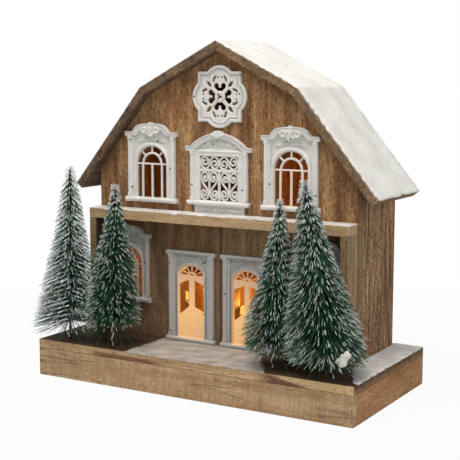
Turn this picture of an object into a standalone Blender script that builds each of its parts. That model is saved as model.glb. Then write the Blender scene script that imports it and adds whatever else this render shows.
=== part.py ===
"""Light-up wooden house for a winter display, on a hollow plinth with four bottle-brush trees.

The house is a barn front of stained boards with a two-slope (gambrel) roof. Pierced plastic
castings are pinned over its window, door and rosette holes, and a battery box with a slide
switch hangs under the plinth's top board and feeds three warm lamps inside the house.

Metres, +Z up. The front faces -Y. The origin lies on the surface that the plinth stands on,
at the middle of the whole footprint, trees included.
"""

import math

import bmesh
import bpy
from mathutils import Matrix, Vector

MM = 0.001

# Fits
GAP = 0.3 * MM            # glue line between pieces that touch
SINK = 0.4 * MM           # how far a raised detail of a casting reaches into its ground

# Plinth: a top board over a frame of four boards, open below
BASE_LENGTH = 340 * MM
BASE_DEPTH = 161 * MM
BASE_HEIGHT = 35.8 * MM
BASE_BOARD = 8 * MM       # thickness of every plinth board
BASE_SETBACK = 10 * MM    # the trees overhang the front, so the plinth lies this far back

# House body; heights are measured from the plinth's top
HOUSE_WIDTH = 283 * MM
HOUSE_DEPTH = 85.9 * MM
HOUSE_BACK_MARGIN = 8.2 * MM
FACADE_BOARD = 12 * MM
SIDE_BOARD = 8 * MM
BACK_BOARD = 6 * MM
PORCH_DEPTH = 19.3 * MM
PORCH_BOARD = 8 * MM
SHELF_RISE = 127.9 * MM   # top of the snow shelf
SHELF_BOARD = 9.5 * MM

# Roof: outer corners of the two slopes
EAVE_REACH = 164.9 * MM
EAVE_RISE = 151.0 * MM
BREAK_REACH = 85.3 * MM
BREAK_RISE = 247.3 * MM
RIDGE_RISE = 290.5 * MM
ROOF_BOARD = 8 * MM
ROOF_FRONT_OVERHANG = 10.1 * MM
ROOF_BACK_OVERHANG = 2.0 * MM

# Castings, shared by windows, doors and grille
CASTING = 2.0 * MM        # thickness of the ground
GLAZING = 1.2 * MM        # thickness of the glazing bars, set back from the front
PILASTER = 7.2 * MM       # width of a pilaster
HOLE_MARGIN = 0.5 * MM    # the hole sawn behind a casting is wider by this all round

# Windows
WINDOW_WIDTH = 57.2 * MM
WINDOW_OPENING = 34.0 * MM
WINDOW_SILL = 4.6 * MM
WINDOW_SPRING = 37.4 * MM       # height at which the arch starts, from the sill's underside
WINDOW_CORNICE = 63.4 * MM      # underside of the cornice
CORNICE_HEIGHT = 4.7 * MM
CORNICE_REACH = 3.1 * MM        # how far cornice and sill stand out beyond the pilasters
PEDIMENT_REACH = 20.5 * MM
PEDIMENT_RISE = 7.2 * MM
GLAZING_BAR = 2.6 * MM
BAR_SPACING = 11.2 * MM
FAN_RADIUS = 10.1 * MM          # middle of the inner ring of the fanlight
UPPER_WINDOW_OFFSET = 76.3 * MM
UPPER_WINDOW_RISE = 7.5 * MM    # above the shelf
LOWER_WINDOW_OFFSET = 107.0 * MM
LOWER_WINDOW_RISE = 34.3 * MM   # above the plinth

# Doors
DOOR_WIDTH = 54.0 * MM
DOOR_HEIGHT = 89.6 * MM
DOOR_OFFSET = 31.05 * MM
DOOR_LEAF = 35.0 * MM
DOOR_SILL = 4.2 * MM
DOOR_SPRING = 65.2 * MM
DOOR_ARCH_RISE = 12.6 * MM
DOOR_CORNICE = 3.0 * MM
DOOR_CORNICE_REACH = 2.3 * MM
LEAF_PANE = 11.6 * MM
LEAF_STILE = 6.2 * MM           # upright between the two panes
PANE_FOOT = 26.0 * MM           # outer lower corner of a pane
PANE_HEAD = 56.5 * MM           # outer upper corner of a pane
PANE_RISE = 4.8 * MM            # the panes climb this much towards the middle at the top
PANE_FOOT_RISE = 9.0 * MM       # and this much at the bottom

# Grille
GRILLE_WIDTH = 64.3 * MM
GRILLE_OPENING = 40.4 * MM
GRILLE_FOOT = 12.4 * MM         # bottom of the opening above the shelf
GRILLE_OPENING_HEIGHT = 42.0 * MM
GRILLE_APRON_WIDTH = 54.8 * MM
GRILLE_APRON_HEIGHT = 7.5 * MM
GRILLE_SILL = 4.4 * MM
GRILLE_CORNICE = 5.0 * MM
GRILLE_FRIEZE = 4.4 * MM        # between the opening and the cornice
GRILLE_REACH = 4.6 * MM
GRILLE_RAIL = 3.0 * MM
GRILLE_UPPER_BAND = 12.4 * MM
ARCH_REACH = 29.5 * MM
ARCH_RISE = 11.4 * MM
SCROLL_BAR = 1.5 * MM
GRILLE_HOLE = 35.0 * MM         # width of the hole sawn behind the grille

# Rosette
ROSETTE_SQUARE = 46.7 * MM
ROSETTE_SPAN = 58.4 * MM
ROSETTE_LOBE = 16.6 * MM        # radius of the four round lobes
ROSETTE_RIM = 3.0 * MM
ROSETTE_GROUND = 1.4 * MM
ROSETTE_RISE = 238.7 * MM       # centre above the plinth
ROSETTE_HOLE = 15.5 * MM        # radius of the hole sawn behind it

# Trees: stems stand in holes drilled through the plinth's top board
WIRE_RADIUS = 1.7 * MM
STEM_DEPTH = 7.0 * MM           # how far a stem goes into the board
SKIRT_RISE = 15.0 * MM          # bare wire below the lowest bristles
BRISTLE_LEVELS = 26
BRISTLES_PER_LEVEL = 4
BRISTLE = 1.1 * MM              # thickness of a bristle at the wire
DROOP_FOOT = 15                 # degrees that the lowest bristles hang below the level
DROOP_TIP = 31                  # degrees that the highest ones do
TREE_CLEARANCE = 0.8 * MM       # kept from a neighbouring tree and from the porch

# Battery box for three AA cells, under the plinth's top board
CELL_RADIUS = 7.0 * MM
CELL_LENGTH = 49.0 * MM
CELL_NUB = 1.3 * MM
CELL_NUB_RADIUS = 2.7 * MM
CELL_COUNT = 3
CELL_SPACE = 0.6 * MM           # between neighbouring cells
CASE_WALL = 1.8 * MM
CASE_CEILING = 1.5 * MM
CONTACT = 0.4 * MM              # thickness of a contact plate
SPRING_LENGTH = 4.6 * MM
SPRING_WIRE = 0.35 * MM         # radius of the spring wire
SPRING_TURNS = 3
COVER = 1.4 * MM
COVER_PLAY = 0.25 * MM
COVER_GROOVE = 1.0 * MM         # how far the cover's edges reach into the side walls
COVER_LIP = 1.2 * MM            # what holds the cover from below
SWITCH_BLOCK = 14.0 * MM
SWITCH_TRAVEL = 3.0 * MM
KNOB_LENGTH = 4.4 * MM
KNOB_WIDTH = 3.6 * MM
KNOB_PROUD = 1.5 * MM
KNOB_POCKET = 3.0 * MM
KNOB_PLAY = 0.35 * MM
SCREW_RADIUS = 1.2 * MM
SCREW_HEAD_RADIUS = 2.5 * MM
SCREW_HEAD = 1.6 * MM
SCREW_BITE = 6.0 * MM
EAR = 9.0 * MM
EAR_THICKNESS = 2.4 * MM
CASE_BEHIND_CENTRE = 2.0 * MM

# Lamps and their lead
LEAD_RADIUS = 0.9 * MM
LEAD_HOLE = 2.4 * MM
LEAD_SOCKET = 2.0 * MM          # depth of the socket in the box
LAMP_RADIUS = 2.5 * MM
LAMP_LENGTH = 8.6 * MM
LAMP_COLLAR = 2.9 * MM

# Where things come to lie
BASE_TOP = BASE_HEIGHT
BASE_FRONT = BASE_SETBACK - BASE_DEPTH / 2
BASE_BACK = BASE_SETBACK + BASE_DEPTH / 2
HOUSE_BACK = BASE_BACK - HOUSE_BACK_MARGIN
FACADE_FRONT = HOUSE_BACK - HOUSE_DEPTH
FACADE_REAR = FACADE_FRONT + FACADE_BOARD
PORCH_FRONT = FACADE_FRONT - PORCH_DEPTH
SHELF_TOP = BASE_TOP + SHELF_RISE
SHELF_UNDER = SHELF_TOP - SHELF_BOARD
ROOF_FRONT = FACADE_FRONT - ROOF_FRONT_OVERHANG
ROOF_REAR = HOUSE_BACK + ROOF_BACK_OVERHANG

# One entry for each tree: distance from the nearer end of the plinth (left is negative), distance
# from the plinth's front edge, height, skirt radius, and how far its tip leans along X
TREES = {
    "tree_far_left": (-26.5 * MM, 16.0 * MM, 171 * MM, 36.5 * MM, 3.4 * MM),
    "tree_left": (-78.1 * MM, 15.7 * MM, 155 * MM, 31.0 * MM, 6.2 * MM),
    "tree_right": (89.9 * MM, 22.2 * MM, 150 * MM, 29.0 * MM, 7.8 * MM),
    "tree_far_right": (27.3 * MM, 16.8 * MM, 171 * MM, 38.0 * MM, -29.4 * MM),
}

# Colours are linear; finishes follow as roughness and metallic
FINISHES = {
    "stained_board": ((0.16, 0.085, 0.035), 0.75, 0.0),
    "porch_board": ((0.20, 0.14, 0.055), 0.75, 0.0),
    "plinth_board": ((0.33, 0.19, 0.085), 0.75, 0.0),
    "roof_board": ((0.10, 0.065, 0.04), 0.8, 0.0),
    "white_casting": ((0.78, 0.76, 0.70), 0.45, 0.0),
    "green_bristle": ((0.025, 0.075, 0.035), 0.6, 0.0),
    "white_abs": ((0.80, 0.80, 0.78), 0.4, 0.0),
    "black_plastic": ((0.02, 0.02, 0.02), 0.4, 0.0),
    "steel": ((0.62, 0.62, 0.62), 0.3, 1.0),
    "cell_jacket": ((0.10, 0.12, 0.16), 0.35, 0.2),
    "clear_lamp": ((1.0, 0.78, 0.42), 0.1, 0.0),
}


def empty_scene():
    """Remove what the file starts with."""
    for thing in list(bpy.data.objects):
        bpy.data.objects.remove(thing, do_unlink=True)


def finish(name):
    """The material of that name, made when it is first asked for."""
    material = bpy.data.materials.get(name)
    if material is None:
        colour, roughness, metallic = FINISHES[name]
        material = bpy.data.materials.new(name)
        material.use_nodes = True
        shader = material.node_tree.nodes["Principled BSDF"]
        shader.inputs["Base Color"].default_value = (*colour, 1.0)
        shader.inputs["Roughness"].default_value = roughness
        shader.inputs["Metallic"].default_value = metallic
        material.diffuse_color = (*colour, 1.0)
    return material


def piece(name, mesh, finish_name, location=(0, 0, 0), parent=None, smooth=None):
    """Put a mesh into the scene as a named piece; smooth is the crease angle of a round one."""
    mesh.name = name
    mesh.materials.clear()
    mesh.materials.append(finish(finish_name))
    if smooth is not None:
        mesh.shade_smooth()
        mesh.set_sharp_from_angle(angle=smooth)
    thing = bpy.data.objects.new(name, mesh)
    thing.location = location
    thing.parent = parent
    bpy.context.scene.collection.objects.link(thing)
    return thing


def to_mesh(bm):
    """Turn a finished bmesh into a mesh with its faces pointing out."""
    bmesh.ops.recalc_face_normals(bm, faces=bm.faces)
    mesh = bpy.data.meshes.new("solid")
    bm.to_mesh(mesh)
    bm.free()
    return mesh


def in_space(axis, u, v, w):
    """A point from its two flat coordinates and its place along the axis."""
    return {"X": (w, u, v), "Y": (u, w, v), "Z": (u, v, w)}[axis]


def prism(axis, outline, low, high, holes=()):
    """Flat outline with holes, filled and extruded along an axis from low to high."""
    bm = bmesh.new()
    edges = []
    for loop in [outline, *holes]:
        verts = [bm.verts.new(in_space(axis, u, v, low)) for u, v in loop]
        edges += [bm.edges.new((a, b)) for a, b in zip(verts, verts[1:] + verts[:1])]
    filled = bmesh.ops.triangle_fill(bm, edges=edges, use_beauty=True, use_dissolve=False)
    faces = [f for f in filled["geom"] if isinstance(f, bmesh.types.BMFace)]
    raised = bmesh.ops.extrude_face_region(bm, geom=faces, use_keep_orig=True)
    verts = [v for v in raised["geom"] if isinstance(v, bmesh.types.BMVert)]
    bmesh.ops.translate(bm, verts=verts, vec=in_space(axis, 0, 0, high - low))
    return to_mesh(bm)


def box(low, high):
    """Block between two corners."""
    outline = [(low[0], low[1]), (high[0], low[1]), (high[0], high[1]), (low[0], high[1])]
    return prism("Z", outline, low[2], high[2])


def moulding(sections, back):
    """Run of moulding with returned ends: a rectangle at each height, joined to the next.

    A section is (height, half width, how far it stands out in front of the back plane).
    """
    bm = bmesh.new()
    rings = []
    for height, half, proud in sections:
        corners = [(-half, back), (half, back), (half, back - proud), (-half, back - proud)]
        rings.append([bm.verts.new((x, y, height)) for x, y in corners])
    for lower, upper in zip(rings, rings[1:]):
        for i in range(4):
            j = (i + 1) % 4
            bm.faces.new((lower[i], lower[j], upper[j], upper[i]))
    bm.faces.new(rings[0])
    bm.faces.new(rings[-1])
    return to_mesh(bm)


def turned(profile, sides, axis="Z"):
    """Solid of revolution from (radius, height) points that start and end on the axis."""
    bm = bmesh.new()
    verts = [bm.verts.new((radius, 0, height)) for radius, height in profile]
    edges = [bm.edges.new((a, b)) for a, b in zip(verts, verts[1:])]
    bmesh.ops.spin(bm, geom=verts + edges, axis=(0, 0, 1), cent=(0, 0, 0),
                   angle=math.tau, steps=sides, use_merge=True)
    bmesh.ops.remove_doubles(bm, verts=bm.verts, dist=0.001 * MM)
    turns = {"Z": Matrix(), "X": Matrix.Rotation(math.pi / 2, 4, "Y"),
             "-Y": Matrix.Rotation(math.pi / 2, 4, "X")}
    bmesh.ops.transform(bm, matrix=turns[axis], verts=bm.verts)
    return to_mesh(bm)


def combined(first, others, operation):
    """One mesh from a solid and a list of others, by exact Booleans."""
    things = []
    for mesh in [first, *others]:
        thing = bpy.data.objects.new("operand", mesh)
        bpy.context.scene.collection.objects.link(thing)
        things.append(thing)
    for other in things[1:]:
        step = things[0].modifiers.new("step", "BOOLEAN")
        step.operation = operation
        step.solver = "EXACT"
        step.object = other
    seen = things[0].evaluated_get(bpy.context.evaluated_depsgraph_get())
    result = bpy.data.meshes.new_from_object(seen)
    for thing in things:
        bpy.data.objects.remove(thing, do_unlink=True)
    bm = bmesh.new()
    bm.from_mesh(result)
    bmesh.ops.remove_doubles(bm, verts=bm.verts, dist=0.002 * MM)
    bmesh.ops.dissolve_degenerate(bm, edges=bm.edges, dist=0.002 * MM)
    bm.to_mesh(result)
    bm.free()
    return result


def fused(solids):
    """Overlapping solids joined into one."""
    return combined(solids[0], solids[1:], "UNION")


def cut(solid, cutters):
    """A solid with others taken away from it."""
    return combined(solid, cutters, "DIFFERENCE")


def moved(mesh, x=0.0, y=0.0, z=0.0, turn=0.0, mirror=False):
    """Copy of a mesh, mirrored across X, turned about Y and moved."""
    bm = bmesh.new()
    bm.from_mesh(mesh)
    if mirror:
        bmesh.ops.scale(bm, vec=(-1, 1, 1), verts=bm.verts)
        bmesh.ops.reverse_faces(bm, faces=bm.faces)
    bmesh.ops.transform(bm, matrix=Matrix.Rotation(turn, 4, "Y"), verts=bm.verts)
    bmesh.ops.translate(bm, verts=bm.verts, vec=(x, y, z))
    copy = bpy.data.meshes.new("solid")
    bm.to_mesh(copy)
    bm.free()
    return copy


def arc(centre_x, centre_z, radius_x, radius_z, start, end, steps):
    """Points along an elliptic arc, angles in degrees."""
    angles = [math.radians(start + (end - start) * i / steps) for i in range(steps + 1)]
    return [(centre_x + radius_x * math.cos(a), centre_z + radius_z * math.sin(a))
            for a in angles]


def ribbon(line, widths):
    """Outline of a band that follows a line, with a width at each of its points."""
    left, right = [], []
    for i, (x, z) in enumerate(line):
        x0, z0 = line[max(i - 1, 0)]
        x1, z1 = line[min(i + 1, len(line) - 1)]
        length = math.hypot(x1 - x0, z1 - z0)
        nx, nz = (z0 - z1) / length, (x1 - x0) / length
        half = widths[i] / 2
        left.append((x + nx * half, z + nz * half))
        right.append((x - nx * half, z - nz * half))
    return left + right[::-1]


def arched(half, foot, spring, rise, steps):
    """Outline of an opening with upright sides and a round head."""
    return [(-half, foot), (half, foot)] + arc(0, spring, half, rise, 0, 180, steps)


def pilaster(inner, outer, low, high):
    """Upright strip with a raised, bevelled face; the ground lies behind it."""
    step = (outer - inner) * 0.16
    fillet = CASTING + 0.5 * MM
    face = CASTING + 1.5 * MM
    profile = [(inner, -CASTING + SINK), (inner, -fillet), (inner + step, -fillet),
               (inner + 1.7 * step, -face), (outer - 1.7 * step, -face), (outer - step, -fillet),
               (outer, -fillet), (outer, -CASTING + SINK)]
    return prism("Z", profile, low, high)


def pair(maker, inner, outer, low, high):
    """The same upright on both sides."""
    right = maker(inner, outer, low, high)
    return [right, moved(right, mirror=True)]


def cornice_sections(low, height, half, reach):
    """A cornice that steps out as it rises: fillet, sloping face, crown."""
    return [(low, half + 0.2 * reach, CASTING + 0.9 * MM),
            (low + 0.30 * height, half + 0.25 * reach, CASTING + 1.4 * MM),
            (low + 0.62 * height, half + 0.85 * reach, CASTING + 3.6 * MM),
            (low + 0.70 * height, half + reach, CASTING + 4.0 * MM),
            (low + height, half + reach, CASTING + 4.0 * MM)]


def sill_sections(low, height, half, reach):
    """A sill that steps in as it rises from its nosing to the pilasters."""
    return [(low, half + 0.55 * reach, CASTING + 2.4 * MM),
            (low + 0.35 * height, half + reach, CASTING + 3.8 * MM),
            (low + 0.70 * height, half + reach, CASTING + 3.8 * MM),
            (low + height, half + 0.3 * reach, CASTING + 1.9 * MM)]


# Plinth

def tree_feet():
    """Where each tree stands on the plinth."""
    feet = {}
    for name, (from_end, inset, _, _, _) in TREES.items():
        end = math.copysign(BASE_LENGTH / 2, from_end)
        feet[name] = Vector((end - from_end, BASE_FRONT + inset, BASE_TOP))
    return feet


def case_place():
    """Middle of the battery box and the height of its top."""
    return 0.0, BASE_SETBACK + CASE_BEHIND_CENTRE, BASE_TOP - BASE_BOARD - GAP


def lead_place():
    """Where the lamps' lead leaves the battery box and rises through the plinth."""
    case_x, case_y, _ = case_place()
    return case_x - case_length() / 2 + SWITCH_BLOCK / 2, case_y + case_width() / 4


def screw_places():
    """The two screws that hold the battery box, one on each ear."""
    case_x, case_y, _ = case_place()
    reach = case_width() / 2 + EAR / 2
    return {"case_screw_front": (case_x, case_y - reach),
            "case_screw_rear": (case_x, case_y + reach)}


def round_hole(x, y, radius, low, high, sides=12):
    """Upright cutter for a drilled hole."""
    return prism("Z", arc(x, y, radius, radius, 0, 360 - 360 / sides, sides - 1), low, high)


def make_plinth():
    """Top board, drilled for stems, lead and screws, over four side boards."""
    half = BASE_LENGTH / 2
    under = BASE_TOP - BASE_BOARD
    board = box((-half, BASE_FRONT, under), (half, BASE_BACK, BASE_TOP))
    low, high = under - 1 * MM, BASE_TOP + 1 * MM
    holes = [round_hole(foot.x, foot.y, WIRE_RADIUS + GAP, low, high)
             for foot in tree_feet().values()]
    holes.append(round_hole(*lead_place(), LEAD_HOLE, low, high))
    holes += [round_hole(x, y, SCREW_RADIUS + GAP, low, under + SCREW_BITE)
              for x, y in screw_places().values()]
    piece("base_top_board", cut(board, holes), "plinth_board")

    rise = under - GAP
    inner_front = BASE_FRONT + BASE_BOARD
    inner_back = BASE_BACK - BASE_BOARD
    inner = half - BASE_BOARD
    piece("base_front_board", box((-half, BASE_FRONT, 0), (half, inner_front, rise)),
          "plinth_board")
    piece("base_back_board", box((-half, inner_back, 0), (half, BASE_BACK, rise)),
          "plinth_board")
    for name, low_x, high_x in (("base_left_board", -half, -inner),
                                ("base_right_board", inner, half)):
        piece(name, box((low_x, inner_front + GAP, 0), (high_x, inner_back - GAP, rise)),
              "plinth_board")


# House body

def roof_lines():
    """Outer and inner corners of the right-hand slopes, from eave to ridge.

    The inner line lies a board's thickness inside the outer one, and the corners at the break
    and the ridge are where the inner lines of both boards meet.
    """
    eave = Vector((EAVE_REACH, BASE_TOP + EAVE_RISE))
    knee = Vector((BREAK_REACH, BASE_TOP + BREAK_RISE))
    ridge = Vector((0, BASE_TOP + RIDGE_RISE))
    lower = (knee - eave).normalized()
    upper = (ridge - knee).normalized()
    lower_in = Vector((-lower.y, lower.x)) * ROOF_BOARD
    upper_in = Vector((-upper.y, upper.x)) * ROOF_BOARD
    bisector = (lower_in + upper_in).normalized()
    knee_in = knee + bisector * (ROOF_BOARD / bisector.dot(lower_in.normalized()))
    ridge_in = ridge + Vector((0, ROOF_BOARD / upper.x))
    return (eave, knee, ridge), (eave + lower_in, knee_in, ridge_in)


def under_roof(x, drop=GAP):
    """Height of the roof's underside at a distance from the middle, less the glue line."""
    _, (eave, knee, ridge) = roof_lines()
    low, high = (eave, knee) if x > knee.x else (knee, ridge)
    share = (x - low.x) / (high.x - low.x)
    slope = (high - low).normalized()
    return low.y + share * (high.y - low.y) - drop / abs(slope.x)


def gable(half, foot):
    """Outline of a wall that fills the gambrel down to a foot."""
    _, (_, knee, _) = roof_lines()
    return [(-half, foot), (half, foot), (half, under_roof(half)), (knee.x, under_roof(knee.x)),
            (0, under_roof(0)), (-knee.x, under_roof(knee.x)), (-half, under_roof(half))]


def window_hole(x, sill):
    """The hole sawn in the façade behind a window casting."""
    half = WINDOW_OPENING / 2 + HOLE_MARGIN
    outline = arched(half, WINDOW_SILL - HOLE_MARGIN, WINDOW_SPRING, half, 10)
    return moved(prism("Y", outline, FACADE_FRONT - 1 * MM, FACADE_REAR + 1 * MM), x=x, z=sill)


def door_hole(x):
    """The hole sawn in the façade behind a door casting."""
    half = DOOR_LEAF / 2 - HOLE_MARGIN
    outline = arched(half, DOOR_SILL, DOOR_SPRING, DOOR_ARCH_RISE, 10)
    return moved(prism("Y", outline, FACADE_FRONT - 1 * MM, FACADE_REAR + 1 * MM),
                 x=x, z=BASE_TOP + GAP)


def make_walls():
    """Façade in three boards, two side walls and the back."""
    half = HOUSE_WIDTH / 2
    foot = BASE_TOP + GAP
    split = SHELF_TOP - SHELF_BOARD / 2
    low, high = FACADE_FRONT - 1 * MM, FACADE_REAR + 1 * MM

    upper = prism("Y", gable(half, split + GAP), FACADE_FRONT, FACADE_REAR)
    sill = SHELF_TOP + UPPER_WINDOW_RISE
    grille_half = GRILLE_HOLE / 2
    grille_low = SHELF_TOP + GRILLE_FOOT + HOLE_MARGIN
    grille_high = SHELF_TOP + GRILLE_FOOT + GRILLE_OPENING_HEIGHT - HOLE_MARGIN
    holes = [window_hole(-UPPER_WINDOW_OFFSET, sill), window_hole(UPPER_WINDOW_OFFSET, sill),
             box((-grille_half, low, grille_low), (grille_half, high, grille_high)),
             prism("Y", arc(0, BASE_TOP + ROSETTE_RISE, ROSETTE_HOLE, ROSETTE_HOLE, 0, 345, 23),
                   low, high)]
    piece("facade_upper", cut(upper, holes), "stained_board")

    for name, side in (("facade_lower_left", -1), ("facade_lower_right", 1)):
        ends = sorted((side * half, side * GAP / 2))
        board = box((ends[0], FACADE_FRONT, foot), (ends[1], FACADE_REAR, split))
        holes = [window_hole(side * LOWER_WINDOW_OFFSET, BASE_TOP + LOWER_WINDOW_RISE),
                 door_hole(side * DOOR_OFFSET)]
        piece(name, cut(board, holes), "stained_board")

    wall_front = FACADE_REAR + GAP
    wall_back = HOUSE_BACK - BACK_BOARD - GAP
    inner = half - SIDE_BOARD
    for name, side in (("left_wall", -1), ("right_wall", 1)):
        outline = [(side * inner, foot), (side * half, foot), (side * half, under_roof(half)),
                   (side * inner, under_roof(inner))]
        piece(name, prism("Y", outline, wall_front, wall_back), "stained_board")
    piece("back_wall", prism("Y", gable(half, foot), HOUSE_BACK - BACK_BOARD, HOUSE_BACK),
          "stained_board")


def make_porch():
    """Snow shelf across the front, on two short side panels."""
    half = HOUSE_WIDTH / 2
    back = FACADE_FRONT - GAP
    piece("porch_shelf", box((-half, PORCH_FRONT, SHELF_UNDER), (half, back, SHELF_TOP)),
          "porch_board")
    for name, side in (("porch_left_panel", -1), ("porch_right_panel", 1)):
        ends = sorted((side * half, side * (half - PORCH_BOARD)))
        low = (ends[0], PORCH_FRONT, BASE_TOP + GAP)
        piece(name, box(low, (ends[1], back, SHELF_UNDER - GAP)), "porch_board")


def make_roof():
    """Four boards, mitred at the two breaks and at the ridge, eaves cut square."""
    (eave, knee, ridge), (eave_in, knee_in, ridge_in) = roof_lines()
    half_gap = GAP / 2
    along_lower = (knee - eave).normalized() * half_gap
    along_upper = (ridge - knee).normalized() * half_gap
    level = Vector((half_gap, 0))
    boards = {"lower": [eave, knee - along_lower, knee_in - along_lower, eave_in],
              "upper": [knee + along_upper, ridge + level, ridge_in + level,
                        knee_in + along_upper]}
    for place, corners in boards.items():
        for side_name, side in (("left", -1), ("right", 1)):
            outline = [(side * corner.x, corner.y) for corner in corners]
            piece(f"roof_{side_name}_{place}", prism("Y", outline, ROOF_FRONT, ROOF_REAR),
                  "roof_board")


# Castings: each is modelled with its back on y = 0 and its foot on z = 0

def fan_panes(half, spring):
    """Openings of a window's arched head: four around an inner ring, and one inside it."""
    bar = GLAZING_BAR / 2
    panes = []
    inner = FAN_RADIUS + bar
    outer = half + 0.1 * MM
    foot = math.degrees(math.asin(bar * 0.6 / inner))
    side = math.degrees(math.asin(bar * 0.8 / inner))
    for start, end in ((foot, 45 - side), (45 + side, 90 - side),
                       (90 + side, 135 - side), (135 + side, 180 - foot)):
        panes.append(arc(0, spring, outer, outer, start, end, 3)
                     + arc(0, spring, inner, inner, end, start, 3))
    core = FAN_RADIUS - bar
    panes.append(arc(0, spring + 0.6 * bar, core, core, 0, 180, 7))
    return panes


def lower_panes(half, foot, head):
    """Openings between the upright bars."""
    bar = GLAZING_BAR / 2
    edges = [-half, -BAR_SPACING - bar, -BAR_SPACING + bar, -bar, bar, BAR_SPACING - bar,
             BAR_SPACING + bar, half]
    return [[(low, foot), (high, foot), (high, head), (low, head)]
            for low, high in zip(edges[::2], edges[1::2])]


def pediment_outline(inset):
    """Round-shouldered head with a level top, drawn in by an inset."""
    reach = PEDIMENT_REACH - inset
    rise = PEDIMENT_RISE - inset
    flat = PEDIMENT_REACH * 0.5
    right = arc(flat, 0, reach - flat, rise, 0, 90, 5)
    return right + [(-x, z) for x, z in right[::-1]]


def leaf_outline(half, rise):
    """Small leaf with two side lobes and a point."""
    right = [(0.40 * half, 0), (1.0 * half, 0.38 * rise), (0.52 * half, 0.48 * rise),
             (0.42 * half, 0.80 * rise)]
    return right + [(0, rise)] + [(-x, z) for x, z in right[::-1]]


def window_mesh():
    """Arched window: ground, glazing bars, arch ring, pilasters, sill, cornice and pediment."""
    half = WINDOW_WIDTH / 2
    opening = WINDOW_OPENING / 2
    crown = WINDOW_CORNICE + CORNICE_HEIGHT
    head = pediment_outline(0)
    ground = ([(-half, SINK), (half, SINK), (half, crown - SINK),
               (PEDIMENT_REACH, crown - SINK)]
              + [(x, crown + z) for x, z in head[1:-1]]
              + [(-PEDIMENT_REACH, crown - SINK), (-half, crown - SINK)])
    arch = arched(opening, WINDOW_SILL - SINK, WINDOW_SPRING, opening, 10)
    solids = [prism("Y", ground, -CASTING, 0, [arch])]

    bars = arched(opening + 1 * MM, WINDOW_SILL - 1 * MM, WINDOW_SPRING, opening + 1 * MM, 10)
    transom = GLAZING_BAR * 0.3
    holes = lower_panes(opening, WINDOW_SILL, WINDOW_SPRING - transom)
    holes += fan_panes(opening, WINDOW_SPRING)
    solids.append(prism("Y", bars, -GLAZING - SINK / 2, -SINK / 2, holes))

    ring_outer = opening + 4 * MM
    ring_inner = opening + 0.5 * MM
    ring = (arc(0, WINDOW_SPRING, ring_outer, ring_outer, 0, 180, 10)
            + arc(0, WINDOW_SPRING, ring_inner, ring_inner, 180, 0, 10))
    solids.append(prism("Y", ring, -CASTING - 0.9 * MM, -CASTING + SINK))
    solids += pair(pilaster, half - PILASTER, half, WINDOW_SILL - SINK, WINDOW_CORNICE + SINK)
    solids.append(moulding(sill_sections(0, WINDOW_SILL, half, CORNICE_REACH), -SINK))
    solids.append(moulding(cornice_sections(WINDOW_CORNICE, CORNICE_HEIGHT, half,
                                            CORNICE_REACH), -SINK))
    band = [(x, z + crown) for x, z in pediment_outline(0.05 * MM)]
    inner = [(x, z + crown - SINK) for x, z in pediment_outline(2.4 * MM)]
    solids.append(prism("Y", band + inner[::-1], -CASTING - 1.6 * MM, -CASTING + SINK))
    volute = turned([(0, 0), (3.4 * MM, 0), (3.4 * MM, 1.4 * MM), (2.4 * MM, 2.0 * MM),
                     (0, 2.0 * MM)], 10, "-Y")
    for side in (-1, 1):
        solids.append(moved(volute, x=side * 0.3 * PEDIMENT_REACH, y=-CASTING + SINK,
                            z=crown + 0.42 * PEDIMENT_RISE))
    leaf = [(x, z + crown + PEDIMENT_RISE * 0.55) for x, z in leaf_outline(3.6 * MM, 6.0 * MM)]
    solids.append(prism("Y", leaf, -CASTING - 2.0 * MM, -CASTING * 0.3))
    return fused(solids)


def make_windows():
    """Two windows above the shelf, and two below whose outer ends meet the porch panels."""
    mesh = window_mesh()
    depth = FACADE_FRONT - GAP
    for name, side in (("window_upper_left", -1), ("window_upper_right", 1)):
        place = (side * UPPER_WINDOW_OFFSET, depth, SHELF_TOP + UPPER_WINDOW_RISE)
        piece(name, mesh.copy(), "white_casting", place)
    room = HOUSE_WIDTH / 2 - PORCH_BOARD - GAP - LOWER_WINDOW_OFFSET
    reach = WINDOW_WIDTH
    for name, side in (("window_lower_left", -1), ("window_lower_right", 1)):
        ends = sorted((side * room, side * reach))
        trim = box((ends[0], -reach, -reach), (ends[1], reach, 2 * reach))
        place = (side * LOWER_WINDOW_OFFSET, depth, BASE_TOP + LOWER_WINDOW_RISE)
        piece(name, cut(mesh.copy(), [trim]), "white_casting", place)


def door_fan(half, rise):
    """Openings of the door's fanlight: six wedges and a half moon."""
    openings = []
    for index in range(6):
        start, end = 4 + index * 29.4, 4 + index * 29.4 + 22.5
        outer_x, outer_z = 0.77 * half, 0.84 * rise
        inner_x, inner_z = 0.30 * half, 0.38 * rise
        openings.append(arc(0, DOOR_SPRING, outer_x, outer_z, start, end, 2)
                        + arc(0, DOOR_SPRING, inner_x, inner_z, end, start, 1))
    openings.append(arc(0, DOOR_SPRING, 0.17 * half, 0.20 * rise, 0, 180, 4))
    return openings


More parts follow.
